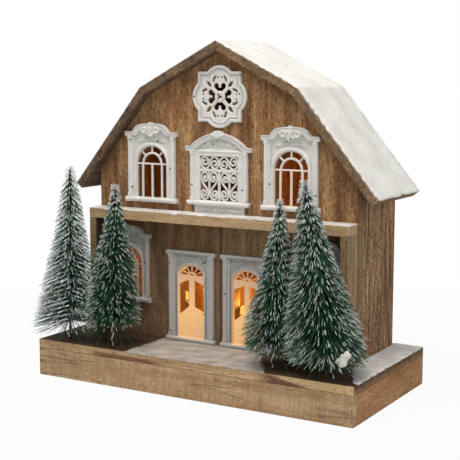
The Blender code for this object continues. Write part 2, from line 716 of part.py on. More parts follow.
def door_mesh():
    """Door casting: surround, arch, and a pair of leaves with sloping glazed panes."""
    half = DOOR_WIDTH / 2
    leaf = DOOR_LEAF / 2
    under_cornice = DOOR_HEIGHT - DOOR_CORNICE
    arch = arched(leaf, DOOR_SILL - SINK, DOOR_SPRING, DOOR_ARCH_RISE, 10)
    ground = [(-half, SINK), (half, SINK), (half, DOOR_HEIGHT - SINK), (-half, DOOR_HEIGHT - SINK)]
    solids = [prism("Y", ground, -CASTING, 0, [arch])]

    inner = LEAF_STILE / 2
    outer = inner + LEAF_PANE
    pane = [(inner, PANE_FOOT + PANE_FOOT_RISE), (outer, PANE_FOOT), (outer, PANE_HEAD),
            (inner, PANE_HEAD + PANE_RISE)]
    holes = [pane, [(-x, z) for x, z in pane]] + door_fan(leaf, DOOR_ARCH_RISE)
    leaves = arched(leaf + 1 * MM, DOOR_SILL - 1 * MM, DOOR_SPRING, DOOR_ARCH_RISE + 1 * MM, 10)
    solids.append(prism("Y", leaves, -GLAZING - SINK / 2, -SINK / 2, holes))

    ring = (arc(0, DOOR_SPRING, leaf + 2.6 * MM, DOOR_ARCH_RISE + 2.6 * MM, 0, 180, 10)
            + arc(0, DOOR_SPRING, leaf + 0.5 * MM, DOOR_ARCH_RISE + 0.5 * MM, 180, 0, 10))
    solids.append(prism("Y", ring, -CASTING - 0.8 * MM, -CASTING + SINK))
    solids += pair(pilaster, half - PILASTER, half, DOOR_SILL - SINK, under_cornice + SINK)
    solids.append(moulding(sill_sections(0, DOOR_SILL, half, DOOR_CORNICE_REACH), -SINK))
    solids.append(moulding(cornice_sections(under_cornice, DOOR_CORNICE, half,
                                            DOOR_CORNICE_REACH), -SINK))
    bead = 1.0 * MM
    solids.append(box((-bead / 2, -GLAZING - SINK / 2 - 0.5 * MM, DOOR_SILL - SINK),
                      (bead / 2, -GLAZING, PANE_FOOT + PANE_FOOT_RISE)))
    return fused(solids)


def make_doors():
    """The pair of door castings."""
    mesh = door_mesh()
    for name, side in (("door_left", -1), ("door_right", 1)):
        piece(name, mesh.copy(), "white_casting",
              (side * DOOR_OFFSET, FACADE_FRONT - GAP, BASE_TOP + GAP))


def s_scroll(width, height, steps=15, turn=6.5, swell=1.7):
    """Line of an S-scroll fitted to a cell, lying along the cell's height.

    From the middle to each eye, the line's direction at a length s has turned by an amount that
    goes with s to the power of swell. The points lie at equal turns, the line between them is
    added up in short straight steps, and the whole is turned to put both eyes on the upright
    and stretched to the cell.
    """
    line = [(0.0, 0.0)]
    x = z = 0.0
    fine = 10
    for i in range(steps):
        start, end = (i / steps) ** (1 / swell), ((i + 1) / steps) ** (1 / swell)
        for k in range(fine):
            s = start + (end - start) * (k + 0.5) / fine
            angle = -turn * s ** swell
            x += math.cos(angle) * (end - start) / fine
            z += math.sin(angle) * (end - start) / fine
        line.append((x, z))
    back = -math.pi / 2 - math.atan2(z, x)
    line = [(x * math.cos(back) - z * math.sin(back), x * math.sin(back) + z * math.cos(back))
            for x, z in line]
    whole = [(-x, -z) for x, z in line[:0:-1]] + line
    reach_x = max(x for x, z in whole)
    reach_z = max(z for x, z in whole)
    return [(x / reach_x * width / 2, z / reach_z * height / 2) for x, z in whole]


def scroll_solid(width, height, depth):
    """Pierced S-scroll as a flat bar that widens into an eye at both ends."""
    line = s_scroll(width - SCROLL_BAR, height - SCROLL_BAR)
    count = len(line)
    widths = [SCROLL_BAR * (1.4 if min(i, count - 1 - i) < 2 else 1.0) for i in range(count)]
    return prism("Y", ribbon(line, widths), -depth, -SINK)


def grille_mesh():
    """Balcony grille: apron, sill, pilasters, pierced scrolls and an arched pediment."""
    half = GRILLE_WIDTH / 2
    opening = GRILLE_OPENING / 2
    foot = GRILLE_FOOT
    head = foot + GRILLE_OPENING_HEIGHT
    cornice = head + GRILLE_FRIEZE
    crown = cornice + GRILLE_CORNICE
    radius = (ARCH_REACH ** 2 + ARCH_RISE ** 2) / (2 * ARCH_RISE)
    centre = crown + ARCH_RISE - radius
    spread = math.degrees(math.asin(ARCH_REACH / radius))
    curve = arc(0, centre, radius, radius, 90 - spread, 90 + spread, 12)
    ground = ([(-half, GRILLE_APRON_HEIGHT), (half, GRILLE_APRON_HEIGHT), (half, crown - SINK),
               (ARCH_REACH, crown - SINK)] + curve[1:-1]
              + [(-ARCH_REACH, crown - SINK), (-half, crown - SINK)])
    window = [(-opening, foot), (opening, foot), (opening, head), (-opening, head)]
    solids = [prism("Y", ground, -CASTING, 0, [window])]

    apron = GRILLE_APRON_WIDTH / 2
    solids.append(box((-apron, -CASTING - 0.8 * MM, 0), (apron, -SINK, GRILLE_APRON_HEIGHT + SINK)))
    sill = sill_sections(GRILLE_APRON_HEIGHT, GRILLE_SILL, half, GRILLE_REACH * 0.7)
    solids.append(moulding(sill, -SINK))
    solids.append(moulding(cornice_sections(cornice, GRILLE_CORNICE, half, GRILLE_REACH), -SINK))
    low = GRILLE_APRON_HEIGHT + GRILLE_SILL - SINK
    solids += pair(pilaster, half - PILASTER, half, low, cornice + SINK)
    band = (curve + arc(0, centre, radius - 2.8 * MM, radius - 2.8 * MM,
                        90 + spread * 0.94, 90 - spread * 0.94, 12))
    solids.append(prism("Y", band, -CASTING - 1.8 * MM, -CASTING + SINK))
    leaf = [(x, z + crown + ARCH_RISE - 3.2 * MM)
            for x, z in leaf_outline(7.6 * MM, 7.8 * MM)]
    solids.append(prism("Y", leaf, -CASTING - 2.4 * MM, -CASTING * 0.3))

    overlap = 0.5 * MM
    upper_foot = head - GRILLE_UPPER_BAND
    rail_foot = upper_foot - GRILLE_RAIL
    bar = GRILLE_RAIL / 2
    solids.append(box((-opening - overlap, -GLAZING - 0.6 * MM, rail_foot),
                      (opening + overlap, -SINK * 0.5, upper_foot)))
    solids.append(box((-bar, -GLAZING - 0.5 * MM, foot - overlap),
                      (bar, -SINK * 0.6, rail_foot + overlap)))

    thick = GLAZING + 0.3 * MM
    upper = scroll_solid(GRILLE_UPPER_BAND + 2 * overlap, opening + 2 * overlap, thick)
    middle = upper_foot + GRILLE_UPPER_BAND / 2
    for side in (-1, 1):
        turned_scroll = moved(upper, turn=math.pi / 2)
        solids.append(moved(turned_scroll, x=side * opening / 2, z=middle, mirror=side < 0))
    cell = (opening - bar) / 2
    lower = scroll_solid(cell + 2 * overlap, rail_foot - foot + 2 * overlap, thick - 0.1 * MM)
    middle = (foot + rail_foot) / 2
    for half_side in (-1, 1):
        for side in (-1, 1):
            x = half_side * (bar + cell) + side * cell / 2
            solids.append(moved(lower, x=x, z=middle, mirror=side < 0))
    for half_side in (-1, 1):
        stem = 0.6 * MM
        x = half_side * (bar + cell)
        solids.append(box((x - stem, -GLAZING, middle - 2 * MM),
                          (x + stem, -SINK * 0.8, rail_foot + overlap)))
    return fused(solids)


def make_grille():
    """The grille casting stands on the shelf in the middle of the upper façade."""
    piece("grille", grille_mesh(), "white_casting", (0, FACADE_FRONT - GAP, SHELF_TOP + GAP))


def quarter_turns(loop):
    """A loop and its three copies, each turned by a right angle."""
    loops = [loop]
    for _ in range(3):
        loops.append([(-z, x) for x, z in loops[-1]])
    return loops


def rosette_outline(inset):
    """Square with a round lobe on each side, drawn in by an inset."""
    half = ROSETTE_SQUARE / 2 - inset
    radius = ROSETTE_LOBE - inset
    centre = ROSETTE_SPAN / 2 - ROSETTE_LOBE
    spread = math.degrees(math.acos((half - centre) / radius))
    side = [(half, half)] + arc(0, centre, radius, radius, 90 - spread, 90 + spread, 7)
    return [point for loop in quarter_turns(side) for point in loop]


def rosette_mesh():
    """Pierced rosette: flat ground, raised rim and a boss in the middle."""
    lobes = ribbon(arc(0, 10.4 * MM, 3.9 * MM, 3.6 * MM, 165, 375, 8),
                   [w * MM for w in (2.0, 3.4, 3.5, 2.8, 2.4, 2.8, 3.5, 3.4, 2.0)])
    slit = ribbon(arc(10.0 * MM, 11.0 * MM, 5.2 * MM, 7.0 * MM, 150, 95, 3),
                  [w * MM for w in (0.5, 1.3, 1.5, 0.5)])
    slits = [[(x - 12.4 * MM, z + 0.5 * MM) for x, z in slit]]
    slits.append([(-x, z) for x, z in slits[0]])
    diagonal = math.sqrt(0.5)
    leaf = []
    for along, across in ((13.4, 0), (14.8, 0.95), (16.4, 0.75), (19.0, 0), (16.4, -0.75),
                          (14.8, -0.95)):
        leaf.append(((along - across) * diagonal * MM, (along + across) * diagonal * MM))
    holes = [h for loop in (lobes, leaf, slits[0], slits[1]) for h in quarter_turns(loop)]
    star = []
    for index in range(6):
        angle = math.radians(60 * index)
        radius = (2.3 if index % 2 == 0 else 0.8) * MM
        star.append((radius * math.cos(angle), radius * math.sin(angle)))
    ground = prism("Y", rosette_outline(ROSETTE_RIM / 3), -ROSETTE_GROUND, 0, [star] + holes)
    rim = prism("Y", rosette_outline(0), -ROSETTE_GROUND - 1.0 * MM, -SINK,
                [rosette_outline(ROSETTE_RIM)])
    boss = prism("Y", arc(0, 0, 4.6 * MM, 4.6 * MM, 0, 337.5, 15), -ROSETTE_GROUND - 0.6 * MM,
                 -ROSETTE_GROUND + SINK, [[(x * 1.5, z * 1.5) for x, z in star]])
    return fused([ground, rim, boss])


def make_rosette():
    """The rosette sits flat on the gable."""
    piece("rosette", rosette_mesh(), "white_casting", (0, FACADE_FRONT - GAP, BASE_TOP + ROSETTE_RISE))


# Trees

def trunk_at(name, height):
    """Middle of a tree's wire at a height above the plinth."""
    _, _, tall, _, lean = TREES[name]
    return tree_feet()[name] + Vector((lean * height / tall, 0, height))


def skirt_at(name, height):
    """Radius of a tree's bristles at a height above the plinth."""
    _, _, tall, radius, _ = TREES[name]
    share = min(max((height - SKIRT_RISE) / (tall - SKIRT_RISE), 0.0), 1.0)
    return 3 * MM + (radius - 3 * MM) * (1 - share) ** 0.92


def kept_length(name, height, direction, length):
    """A bristle's level reach, less where a neighbouring tree or the porch stops it."""
    trunk = trunk_at(name, height)
    if direction.y > 0:
        room = PORCH_FRONT - TREE_CLEARANCE - trunk.y
        length = min(length, room / direction.y)
    for other in TREES:
        if other == name:
            continue
        towards = trunk_at(other, height) - trunk
        distance = towards.length
        towards.normalize()
        share = skirt_at(name, height) / (skirt_at(name, height) + skirt_at(other, height))
        facing = direction.dot(towards)
        if facing > 0:
            length = min(length, (distance * share - TREE_CLEARANCE) / facing)
    return length


def tree_mesh(name):
    """Bottle brush: an eight-sided twisted wire with bristles drawn out of its faces.

    Each level of the wire has eight faces. Every other face carries a four-sided bristle that
    ends in a point, and the next level uses the faces in between. All bristles droop, the high
    ones most.
    """
    foot = tree_feet()[name]
    _, _, tall, _, _ = TREES[name]
    sides = 2 * BRISTLES_PER_LEVEL
    step = (tall - SKIRT_RISE - 4 * MM) / BRISTLE_LEVELS
    heights = [-STEM_DEPTH, GAP, SKIRT_RISE / 2]
    heights += [SKIRT_RISE + step * level for level in range(BRISTLE_LEVELS + 1)]
    bm = bmesh.new()
    rings = []
    for index, height in enumerate(heights):
        middle = trunk_at(name, max(height, 0)) if height > 0 else foot + Vector((0, 0, height))
        radius = WIRE_RADIUS * (1 if index < 4 else 1 - 0.45 * height / tall)
        twist = math.radians(17) * index
        ring = []
        for side in range(sides):
            angle = twist + math.tau * side / sides
            ring.append(bm.verts.new(middle + Vector((radius * math.cos(angle),
                                                      radius * math.sin(angle), 0))))
        rings.append(ring)
    bm.faces.new(rings[0])
    tip = bm.verts.new(trunk_at(name, tall))
    for index, (lower, upper) in enumerate(zip(rings, rings[1:])):
        level = index - 3
        for side in range(sides):
            corners = [lower[side], lower[(side + 1) % sides], upper[(side + 1) % sides],
                       upper[side]]
            if level < 0 or (side + level) % 2:
                bm.faces.new(corners)
            else:
                add_bristle(bm, name, corners, level / (BRISTLE_LEVELS - 1))
    for side in range(sides):
        bm.faces.new((rings[-1][side], rings[-1][(side + 1) % sides], tip))
    return to_mesh(bm)


def add_bristle(bm, name, corners, share):
    """Four-sided bristle drawn to a point from a small square inside a face of the wire."""
    middle = sum((c.co for c in corners), Vector()) / 4
    height = middle.z - BASE_TOP
    trunk = trunk_at(name, height)
    outward = (middle - trunk) * Vector((1, 1, 0))
    radius = outward.length
    outward.normalize()
    across = Vector((-outward.y, outward.x, 0))
    droop = math.radians(DROOP_FOOT + (DROOP_TIP - DROOP_FOOT) * share ** 0.5)
    reach = kept_length(name, height, outward, skirt_at(name, height)) - radius
    end = bm.verts.new(middle + outward * reach - Vector((0, 0, math.tan(droop) * reach)))
    half = min(BRISTLE, 0.7 * (corners[1].co - corners[0].co).length) / 2
    up = Vector((0, 0, BRISTLE / 2))
    square = [bm.verts.new(middle + across * (a * half) + up * b + outward * 0.02 * MM)
              for a, b in ((-1, -1), (1, -1), (1, 1), (-1, 1))]
    for i in range(4):
        j = (i + 1) % 4
        bm.faces.new((corners[i], corners[j], square[j], square[i]))
        bm.faces.new((square[i], square[j], end))


def make_trees():
    """The four trees."""
    for name in TREES:
        piece(name, tree_mesh(name), "green_bristle")


# Battery box, switch and cells

def bay_length():
    """Room for a cell, its spring and two contact plates."""
    return CELL_LENGTH + CELL_NUB + SPRING_LENGTH + 2 * CONTACT + 5 * GAP


def bay_width():
    """Room for the cells side by side."""
    return CELL_COUNT * 2 * CELL_RADIUS + (CELL_COUNT - 1) * CELL_SPACE + 4 * GAP


def case_length():
    """Outside length of the battery box, switch end included."""
    return bay_length() + 2 * CASE_WALL + SWITCH_BLOCK


def case_width():
    """Outside width of the battery box."""
    return bay_width() + 2 * CASE_WALL


def case_levels():
    """Heights inside the box: underside, cover's two faces, ceiling of the bay and top."""
    _, _, top = case_place()
    ceiling = top - CASE_CEILING
    cover_high = ceiling - 2 * CELL_RADIUS - 2 * GAP
    cover_low = cover_high - COVER
    under = cover_low - COVER_PLAY - COVER_LIP
    return under, cover_low, cover_high, ceiling, top


def bay_ends():
    """The bay's two ends along X; the switch is at the low end."""
    case_x, _, _ = case_place()
    high = case_x + case_length() / 2 - CASE_WALL
    return high - bay_length(), high


def knob_place():
    """Middle of the switch knob when the lamps are on."""
    case_x, case_y, _ = case_place()
    return case_x - case_length() / 2 + SWITCH_BLOCK / 2 + SWITCH_TRAVEL / 2, case_y


def make_battery_box():
    """Box with a bay for the cells, grooves for the cover, a switch pocket and two ears."""
    case_x, case_y, _ = case_place()
    under, cover_low, cover_high, ceiling, top = case_levels()
    half_l, half_w = case_length() / 2, case_width() / 2
    bay_low, bay_high = bay_ends()
    bay_half = bay_width() / 2
    ear = EAR / 2
    block = box((case_x - half_l, case_y - half_w, under), (case_x + half_l, case_y + half_w, top))
    ears = box((case_x - ear, case_y - half_w - EAR, top - EAR_THICKNESS),
               (case_x + ear, case_y + half_w + EAR, top - 0.2 * MM))
    reach = 5 * MM
    out = case_x + half_l + reach
    groove = bay_half + COVER_GROOVE
    cutters = [
        box((bay_low, case_y - bay_half, under - reach), (bay_high, case_y + bay_half, ceiling)),
        box((bay_low - COVER_GROOVE, case_y - groove, cover_low - COVER_PLAY),
            (out, case_y + groove, cover_high + COVER_PLAY)),
        box((bay_high - reach, case_y - bay_half, under - reach),
            (out, case_y + bay_half, cover_low)),
    ]
    knob_x, knob_y = knob_place()
    travel_low = knob_x - SWITCH_TRAVEL - KNOB_LENGTH / 2 - KNOB_PLAY
    cutters.append(box((travel_low, knob_y - KNOB_WIDTH / 2 - KNOB_PLAY, under - reach),
                       (knob_x + KNOB_LENGTH / 2 + KNOB_PLAY, knob_y + KNOB_WIDTH / 2 + KNOB_PLAY,
                        under + KNOB_POCKET)))
    lead_x, lead_y = lead_place()
    cutters.append(round_hole(lead_x, lead_y, LEAD_RADIUS + GAP, top - LEAD_SOCKET, top + reach, 8))
    cutters += [round_hole(x, y, SCREW_RADIUS + GAP, top - reach, top + reach, 10)
                for x, y in screw_places().values()]
    piece("battery_case", cut(fused([block, ears]), cutters), "white_abs")

    knob = box((-KNOB_LENGTH / 2, -KNOB_WIDTH / 2, -KNOB_PROUD),
               (KNOB_LENGTH / 2, KNOB_WIDTH / 2, KNOB_POCKET - KNOB_PLAY))
    notch = prism("Y", [(-0.7 * MM, -2 * KNOB_PROUD), (0.7 * MM, -2 * KNOB_PROUD),
                        (0, -0.4 * KNOB_PROUD)], -KNOB_WIDTH, KNOB_WIDTH)
    piece("switch_knob", cut(knob, [notch]), "black_plastic", (knob_x, knob_y, under))


def make_cover():
    """Sliding cover with grip ribs; it leaves the box at the end away from the switch."""
    case_x, case_y, _ = case_place()
    _, cover_low, cover_high, _, _ = case_levels()
    bay_low, _ = bay_ends()
    half_w = bay_width() / 2 + COVER_GROOVE - COVER_PLAY
    start = bay_low - COVER_GROOVE + COVER_PLAY
    end = case_x + case_length() / 2
    length = end - start
    plate = box((0, -half_w, 0), (length, half_w, cover_high - cover_low))
    ribs = []
    rib_half = bay_width() / 4
    for index in range(4):
        x = length - (5 + 2.6 * index) * MM
        ribs.append(box((x - 0.6 * MM, -rib_half, -0.7 * MM), (x + 0.6 * MM, rib_half, SINK)))
    piece("battery_cover", fused([plate, *ribs]), "white_abs", (start, case_y, cover_low))


def spring_line():
    """Points along a battery spring, which narrows towards the cell, from plate to cell."""
    per_turn = 9
    count = SPRING_TURNS * per_turn
    line = []
    for index in range(count + 1):
        share = index / count
        radius = (4.2 - 1.8 * share) * MM
        angle = math.tau * SPRING_TURNS * share
        along = SPRING_WIRE + (SPRING_LENGTH - 2 * SPRING_WIRE) * share
        line.append((along, radius * math.cos(angle), radius * math.sin(angle)))
    return line


def tube(name, line, radius, resolution, finish_name, location=(0, 0, 0)):
    """Round wire along a list of points, as a curve with a bevel and filled caps."""
    curve = bpy.data.curves.new(name, "CURVE")
    curve.dimensions = "3D"
    curve.bevel_depth = radius
    curve.bevel_resolution = resolution
    curve.use_fill_caps = True
    spline = curve.splines.new("POLY")
    spline.points.add(len(line) - 1)
    for point, place in zip(spline.points, line):
        point.co = (*place, 1)
    curve.materials.append(finish(finish_name))
    thing = bpy.data.objects.new(name, curve)
    thing.location = location
    bpy.context.scene.collection.objects.link(thing)
    return thing


def print_least_gap(line, radius):
    """Say how near a wound wire comes to itself, measured between points a half turn apart."""
    points = [Vector(place) for place in line]
    near = min((a - b).length for i, a in enumerate(points) for b in points[i + 5:])
    print(f"least gap between the turns of a battery spring: {(near - 2 * radius) / MM:.2f} mm")


def make_cells():
    """Cells side by side, turned about in pairs, each between a spring and a contact plate."""
    _, case_y, _ = case_place()
    _, _, cover_high, ceiling, _ = case_levels()
    bay_low, bay_high = bay_ends()
    pitch = 2 * CELL_RADIUS + CELL_SPACE
    height = (cover_high + ceiling) / 2
    profile = [(0, 0), (CELL_RADIUS - 0.6 * MM, 0), (CELL_RADIUS, 0.6 * MM),
               (CELL_RADIUS, CELL_LENGTH - 0.6 * MM), (CELL_RADIUS - 0.6 * MM, CELL_LENGTH),
               (CELL_NUB_RADIUS, CELL_LENGTH), (CELL_NUB_RADIUS, CELL_LENGTH + CELL_NUB),
               (0, CELL_LENGTH + CELL_NUB)]
    cell = turned(profile, 20, "X")
    plate_half = CELL_RADIUS - 1 * MM
    print_least_gap(spring_line(), SPRING_WIRE)
    for index in range(CELL_COUNT):
        y = case_y + (index - (CELL_COUNT - 1) / 2) * pitch
        facing = 1 if index % 2 == 0 else -1
        spring_end = bay_low if facing > 0 else bay_high
        nub_end = bay_high if facing > 0 else bay_low
        spring_plate = spring_end + facing * GAP
        start = spring_plate + facing * (CONTACT + SPRING_LENGTH + 2 * GAP)
        name = f"{index + 1}"
        mesh = cell.copy() if facing > 0 else moved(cell, mirror=True)
        piece(f"cell_{name}", mesh, "cell_jacket", (start, y, height), smooth=math.radians(35))
        for kind, end in (("spring_plate", spring_plate), ("nub_plate", nub_end - facing * GAP)):
            other = end + (facing if kind == "spring_plate" else -facing) * CONTACT
            low, high = sorted((end, other))
            piece(f"{kind}_{name}", box((low, y - plate_half, height - plate_half),
                                        (high, y + plate_half, height + plate_half)), "steel")
        line = [(facing * along, a, b) for along, a, b in spring_line()]
        tube(f"spring_{name}", line, SPRING_WIRE, 0, "steel",
             (spring_plate + facing * (CONTACT + GAP), y, height))


def make_screws():
    """Pan-head screws up through the ears into the plinth's top board."""
    _, _, _, _, top = case_levels()
    seat = top - EAR_THICKNESS - GAP
    tip = BASE_TOP - BASE_BOARD + SCREW_BITE - GAP - seat
    profile = [(0, -SCREW_HEAD), (SCREW_HEAD_RADIUS * 0.6, -SCREW_HEAD),
               (SCREW_HEAD_RADIUS, -SCREW_HEAD * 0.35), (SCREW_HEAD_RADIUS, 0),
               (SCREW_RADIUS, 0), (SCREW_RADIUS, tip - 2 * SCREW_RADIUS), (0, tip)]
    screw = turned(profile, 10)
    slot = box((-SCREW_HEAD_RADIUS, -0.35 * MM, -2 * SCREW_HEAD),
               (SCREW_HEAD_RADIUS, 0.35 * MM, -SCREW_HEAD + 0.7 * MM))
    mesh = cut(screw, [slot])
    for name, (x, y) in screw_places().items():
        piece(name, mesh.copy(), "steel", (x, y, seat), smooth=math.radians(35))


# Lamps and lead

def lamp_places():
    """The three lamps: behind each door, and in the upper storey. They are glued to the façade."""
    behind = FACADE_REAR + GAP + LAMP_COLLAR
    return {"lamp_lower_right": Vector((DOOR_OFFSET / 2, behind, BASE_TOP + 30 * MM)),
            "lamp_lower_left": Vector((-DOOR_OFFSET / 2 - 34 * MM, behind, BASE_TOP + 38 * MM)),
            "lamp_upper": Vector((30 * MM, behind, SHELF_TOP + 12 * MM))}


def smooth_line(points, spacing):
    """Catmull-Rom curve through points, read off at about the given spacing."""
    padded = [2 * points[0] - points[1], *points, 2 * points[-1] - points[-2]]
    line = [points[0]]
    for p0, p1, p2, p3 in zip(padded, padded[1:], padded[2:], padded[3:]):
        steps = max(2, round((p2 - p1).length / spacing))
        for i in range(1, steps + 1):
            t = i / steps
            line.append(0.5 * (2 * p1 + (p2 - p0) * t + (2 * p0 - 5 * p1 + 4 * p2 - p3) * t ** 2
                               + (3 * p1 - p0 - 3 * p2 + p3) * t ** 3))
    return line


def make_lamps():
    """Round-nosed lamps and the lead that links them to the battery box."""
    profile = [(0, 0), (LAMP_COLLAR, 0), (LAMP_COLLAR, 1 * MM), (LAMP_RADIUS, 1 * MM)]
    straight = LAMP_LENGTH - LAMP_RADIUS
    profile += [(LAMP_RADIUS * math.cos(math.radians(a)),
                 straight + LAMP_RADIUS * math.sin(math.radians(a))) for a in (0, 35, 65)]
    profile.append((0, LAMP_LENGTH))
    lamp = turned(profile, 10)
    places = lamp_places()
    for name, place in places.items():
        piece(name, lamp.copy(), "clear_lamp", place, smooth=math.radians(35))

    lead_x, lead_y = lead_place()
    _, _, _, _, top = case_levels()
    run = FACADE_REAR + GAP + LEAD_RADIUS + 0.1 * MM
    under = LEAD_RADIUS + GAP
    right, left, upper = (places[n] for n in ("lamp_lower_right", "lamp_lower_left", "lamp_upper"))
    route = [Vector((lead_x, lead_y, top - LEAD_SOCKET + GAP)),
             Vector((lead_x, lead_y, BASE_TOP + 2 * MM)),
             Vector((lead_x + 4 * MM, lead_y - 8 * MM, BASE_TOP + 6 * MM)),
             Vector((left.x - 6 * MM, run + 8 * MM, BASE_TOP + 8 * MM)),
             Vector((left.x - 5 * MM, run, left.z - 12 * MM)),
             Vector((left.x, run + 1 * MM, left.z - under)),
             Vector((left.x + 14 * MM, run, left.z - 9 * MM)),
             Vector((right.x - 6 * MM, run, right.z - 15 * MM)),
             Vector((right.x + 6 * MM, run, right.z - 7 * MM)),
             Vector((right.x, run + 1 * MM, right.z - under)),
             Vector((right.x - 6 * MM, run, right.z - 7 * MM)),
             Vector((0.5 * MM + LEAD_RADIUS, run, right.z + 14 * MM)),
             Vector((0.5 * MM + LEAD_RADIUS, run, right.z + 60 * MM)),
             Vector((upper.x - 16 * MM, run, upper.z - 14 * MM)),
             Vector((upper.x, run + 1 * MM, upper.z - under))]
    tube("lamp_lead", smooth_line(route, 6 * LEAD_RADIUS), LEAD_RADIUS, 2, "white_abs")


empty_scene()
make_plinth()
make_walls()
make_porch()
make_roof()
make_windows()
make_doors()
make_grille()
make_rosette()
make_trees()
make_battery_box()
make_cover()
make_cells()
make_screws()
make_lamps()
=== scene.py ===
"""A small lit barn-fronted house on a hollow plinth, with snow and four bottle-brush trees.

The boards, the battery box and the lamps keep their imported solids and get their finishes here.
The snow, the castings and the trees are modelled here in full. The file follows the object as
it is put together: plinth, house, porch, roof, snow, castings, pins, trees, light.
"""

import math

import bpy
import numpy as np
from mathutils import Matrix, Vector


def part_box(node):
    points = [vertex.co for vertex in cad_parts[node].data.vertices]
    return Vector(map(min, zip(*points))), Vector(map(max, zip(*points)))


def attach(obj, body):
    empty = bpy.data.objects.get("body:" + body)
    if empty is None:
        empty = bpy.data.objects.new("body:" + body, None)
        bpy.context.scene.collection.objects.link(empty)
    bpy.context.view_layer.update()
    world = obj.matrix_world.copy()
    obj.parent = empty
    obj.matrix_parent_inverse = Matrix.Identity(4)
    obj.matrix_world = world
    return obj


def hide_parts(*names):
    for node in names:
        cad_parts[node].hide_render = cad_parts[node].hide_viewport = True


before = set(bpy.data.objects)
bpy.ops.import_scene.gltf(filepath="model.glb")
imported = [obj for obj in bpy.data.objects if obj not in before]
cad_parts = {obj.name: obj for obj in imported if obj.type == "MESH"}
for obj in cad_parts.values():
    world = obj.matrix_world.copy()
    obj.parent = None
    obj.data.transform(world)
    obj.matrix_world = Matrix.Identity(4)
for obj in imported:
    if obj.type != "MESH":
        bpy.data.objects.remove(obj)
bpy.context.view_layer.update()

MM = 0.001


# The table it stands on: a pale seamless sheet that the camera sees as white paper, with the
# object's soft shadow left on it. The room is plain and pale.

def linear(code):
    """Linear colour with alpha from an sRGB hex code: the piecewise sRGB curve, undone."""
    parts = [int(code[i:i + 2], 16) / 255 for i in (1, 3, 5)]
    return (*(c / 12.92 if c <= 0.04045 else ((c + 0.055) / 1.055) ** 2.4 for c in parts), 1.0)


def add(tree, kind, inputs=None, stops=(), out=None, **settings):
    """Add a shader node with its settings, inputs and colour stops, and return one output.

    An input is another node's output, a value, or a colour's hex code. The output is the one
    that out names, or else the first in use.
    """
    node = tree.nodes.new("ShaderNode" + kind)
    for name, value in settings.items():
        setattr(node, name, value)
    for key, value in (inputs or {}).items():
        if isinstance(value, bpy.types.NodeSocket):
            tree.links.new(value, node.inputs[key])
        else:
            node.inputs[key].default_value = linear(value) if isinstance(value, str) else value
    if stops:
        points = node.color_ramp.elements
        while len(points) < len(stops):
            points.new(1.0)
        for point, (place, code) in zip(points, stops):
            point.position = place
            point.color = linear(code)
    if node.outputs:
        return node.outputs[out] if out else next(s for s in node.outputs if s.enabled)


def blank(name):
    """A new material, its tree, and the object's own coordinates in metres to draw on."""
    material = bpy.data.materials.new(name)
    material.use_nodes = True
    tree = material.node_tree
    tree.nodes.clear()
    return material, tree, add(tree, "TexCoord", out="Object")


def put(name, data, **settings):
    """A new object in the scene, with its settings."""
    made = bpy.data.objects.new(name, data)
    for key, value in settings.items():
        setattr(made, key, value)
    bpy.context.scene.collection.objects.link(made)
    return made


# The eye meets white light mixed over the paper: straight, in a gloss or through glass. Near
# the object a little of the real paper shows, and with it the shadow.
half_table = 4.0
table_mesh = bpy.data.meshes.new("table")
table_mesh.from_pydata([(x * half_table, y * half_table, 0)
                        for x, y in ((-1, -1), (1, -1), (1, 1), (-1, 1))], [], [(0, 1, 2, 3)])
table = put("table", table_mesh)
paper, tree, place = blank("white paper")
tone = add(tree, "TexNoise", {"Vector": place, "Scale": 3.0, "Detail": 3.0})
tone = add(tree, "ValToRGB", {0: tone}, [(0.3, "#cfcfcd"), (0.7, "#d6d6d4")])
plain = add(tree, "BsdfDiffuse", {"Color": tone})
path = add(tree, "LightPath").node.outputs
eye = add(tree, "Math", {0: path["Is Camera Ray"], 1: path["Is Glossy Ray"]},
          operation="MAXIMUM")
eye = add(tree, "Math", {0: eye, 1: path["Is Transmission Ray"]}, operation="MAXIMUM")
reach = add(tree, "VectorMath", {0: place}, operation="LENGTH")
part = add(tree, "MapRange", {"Value": reach, "From Min": 0.26, "From Max": 0.62,
                              "To Min": 0.93, "To Max": 1.0})
share = add(tree, "Math", {0: eye, 1: part}, operation="MULTIPLY")
white = add(tree, "Emission", {"Color": "#ffffff", "Strength": 1.0})
add(tree, "OutputMaterial", {0: add(tree, "MixShader", {0: share, 1: plain, 2: white})})
table_mesh.materials.append(paper)

room = bpy.data.worlds.new("room")
bpy.context.scene.world = room
room.use_nodes = True
tree = room.node_tree
tree.nodes.clear()
path = add(tree, "LightPath").node.outputs
eye = add(tree, "Math", {0: path["Is Camera Ray"], 1: path["Is Transmission Ray"]},
          operation="MAXIMUM")
pale = add(tree, "Background", {"Color": "#f4f6f9", "Strength": 0.45})
bright = add(tree, "Background", {"Color": "#ffffff", "Strength": 1.0})
add(tree, "OutputWorld", {0: add(tree, "MixShader", {0: eye, 1: pale, 2: bright})})

# Two soft boxes: name, place, width, height, power in watts. Both aim at the porch.
for name, place, width, height, power in (
        ("soft box above", (-0.12, -0.50, 1.45), 1.2, 0.8, 18.0),
        ("soft box right", (1.25, -0.75, 0.60), 0.8, 0.8, 3.8)):
    box_light = bpy.data.lights.new(name, "AREA")
    box_light.shape = "RECTANGLE"
    box_light.size = width
    box_light.size_y = height
    box_light.energy = power
    box_light.color = linear("#fffaf2")[:3]
    aim = Vector((0, 0, 0.15)) - Vector(place)
    put(name, box_light, location=place, rotation_euler=aim.to_track_quat("-Z", "Y").to_euler())

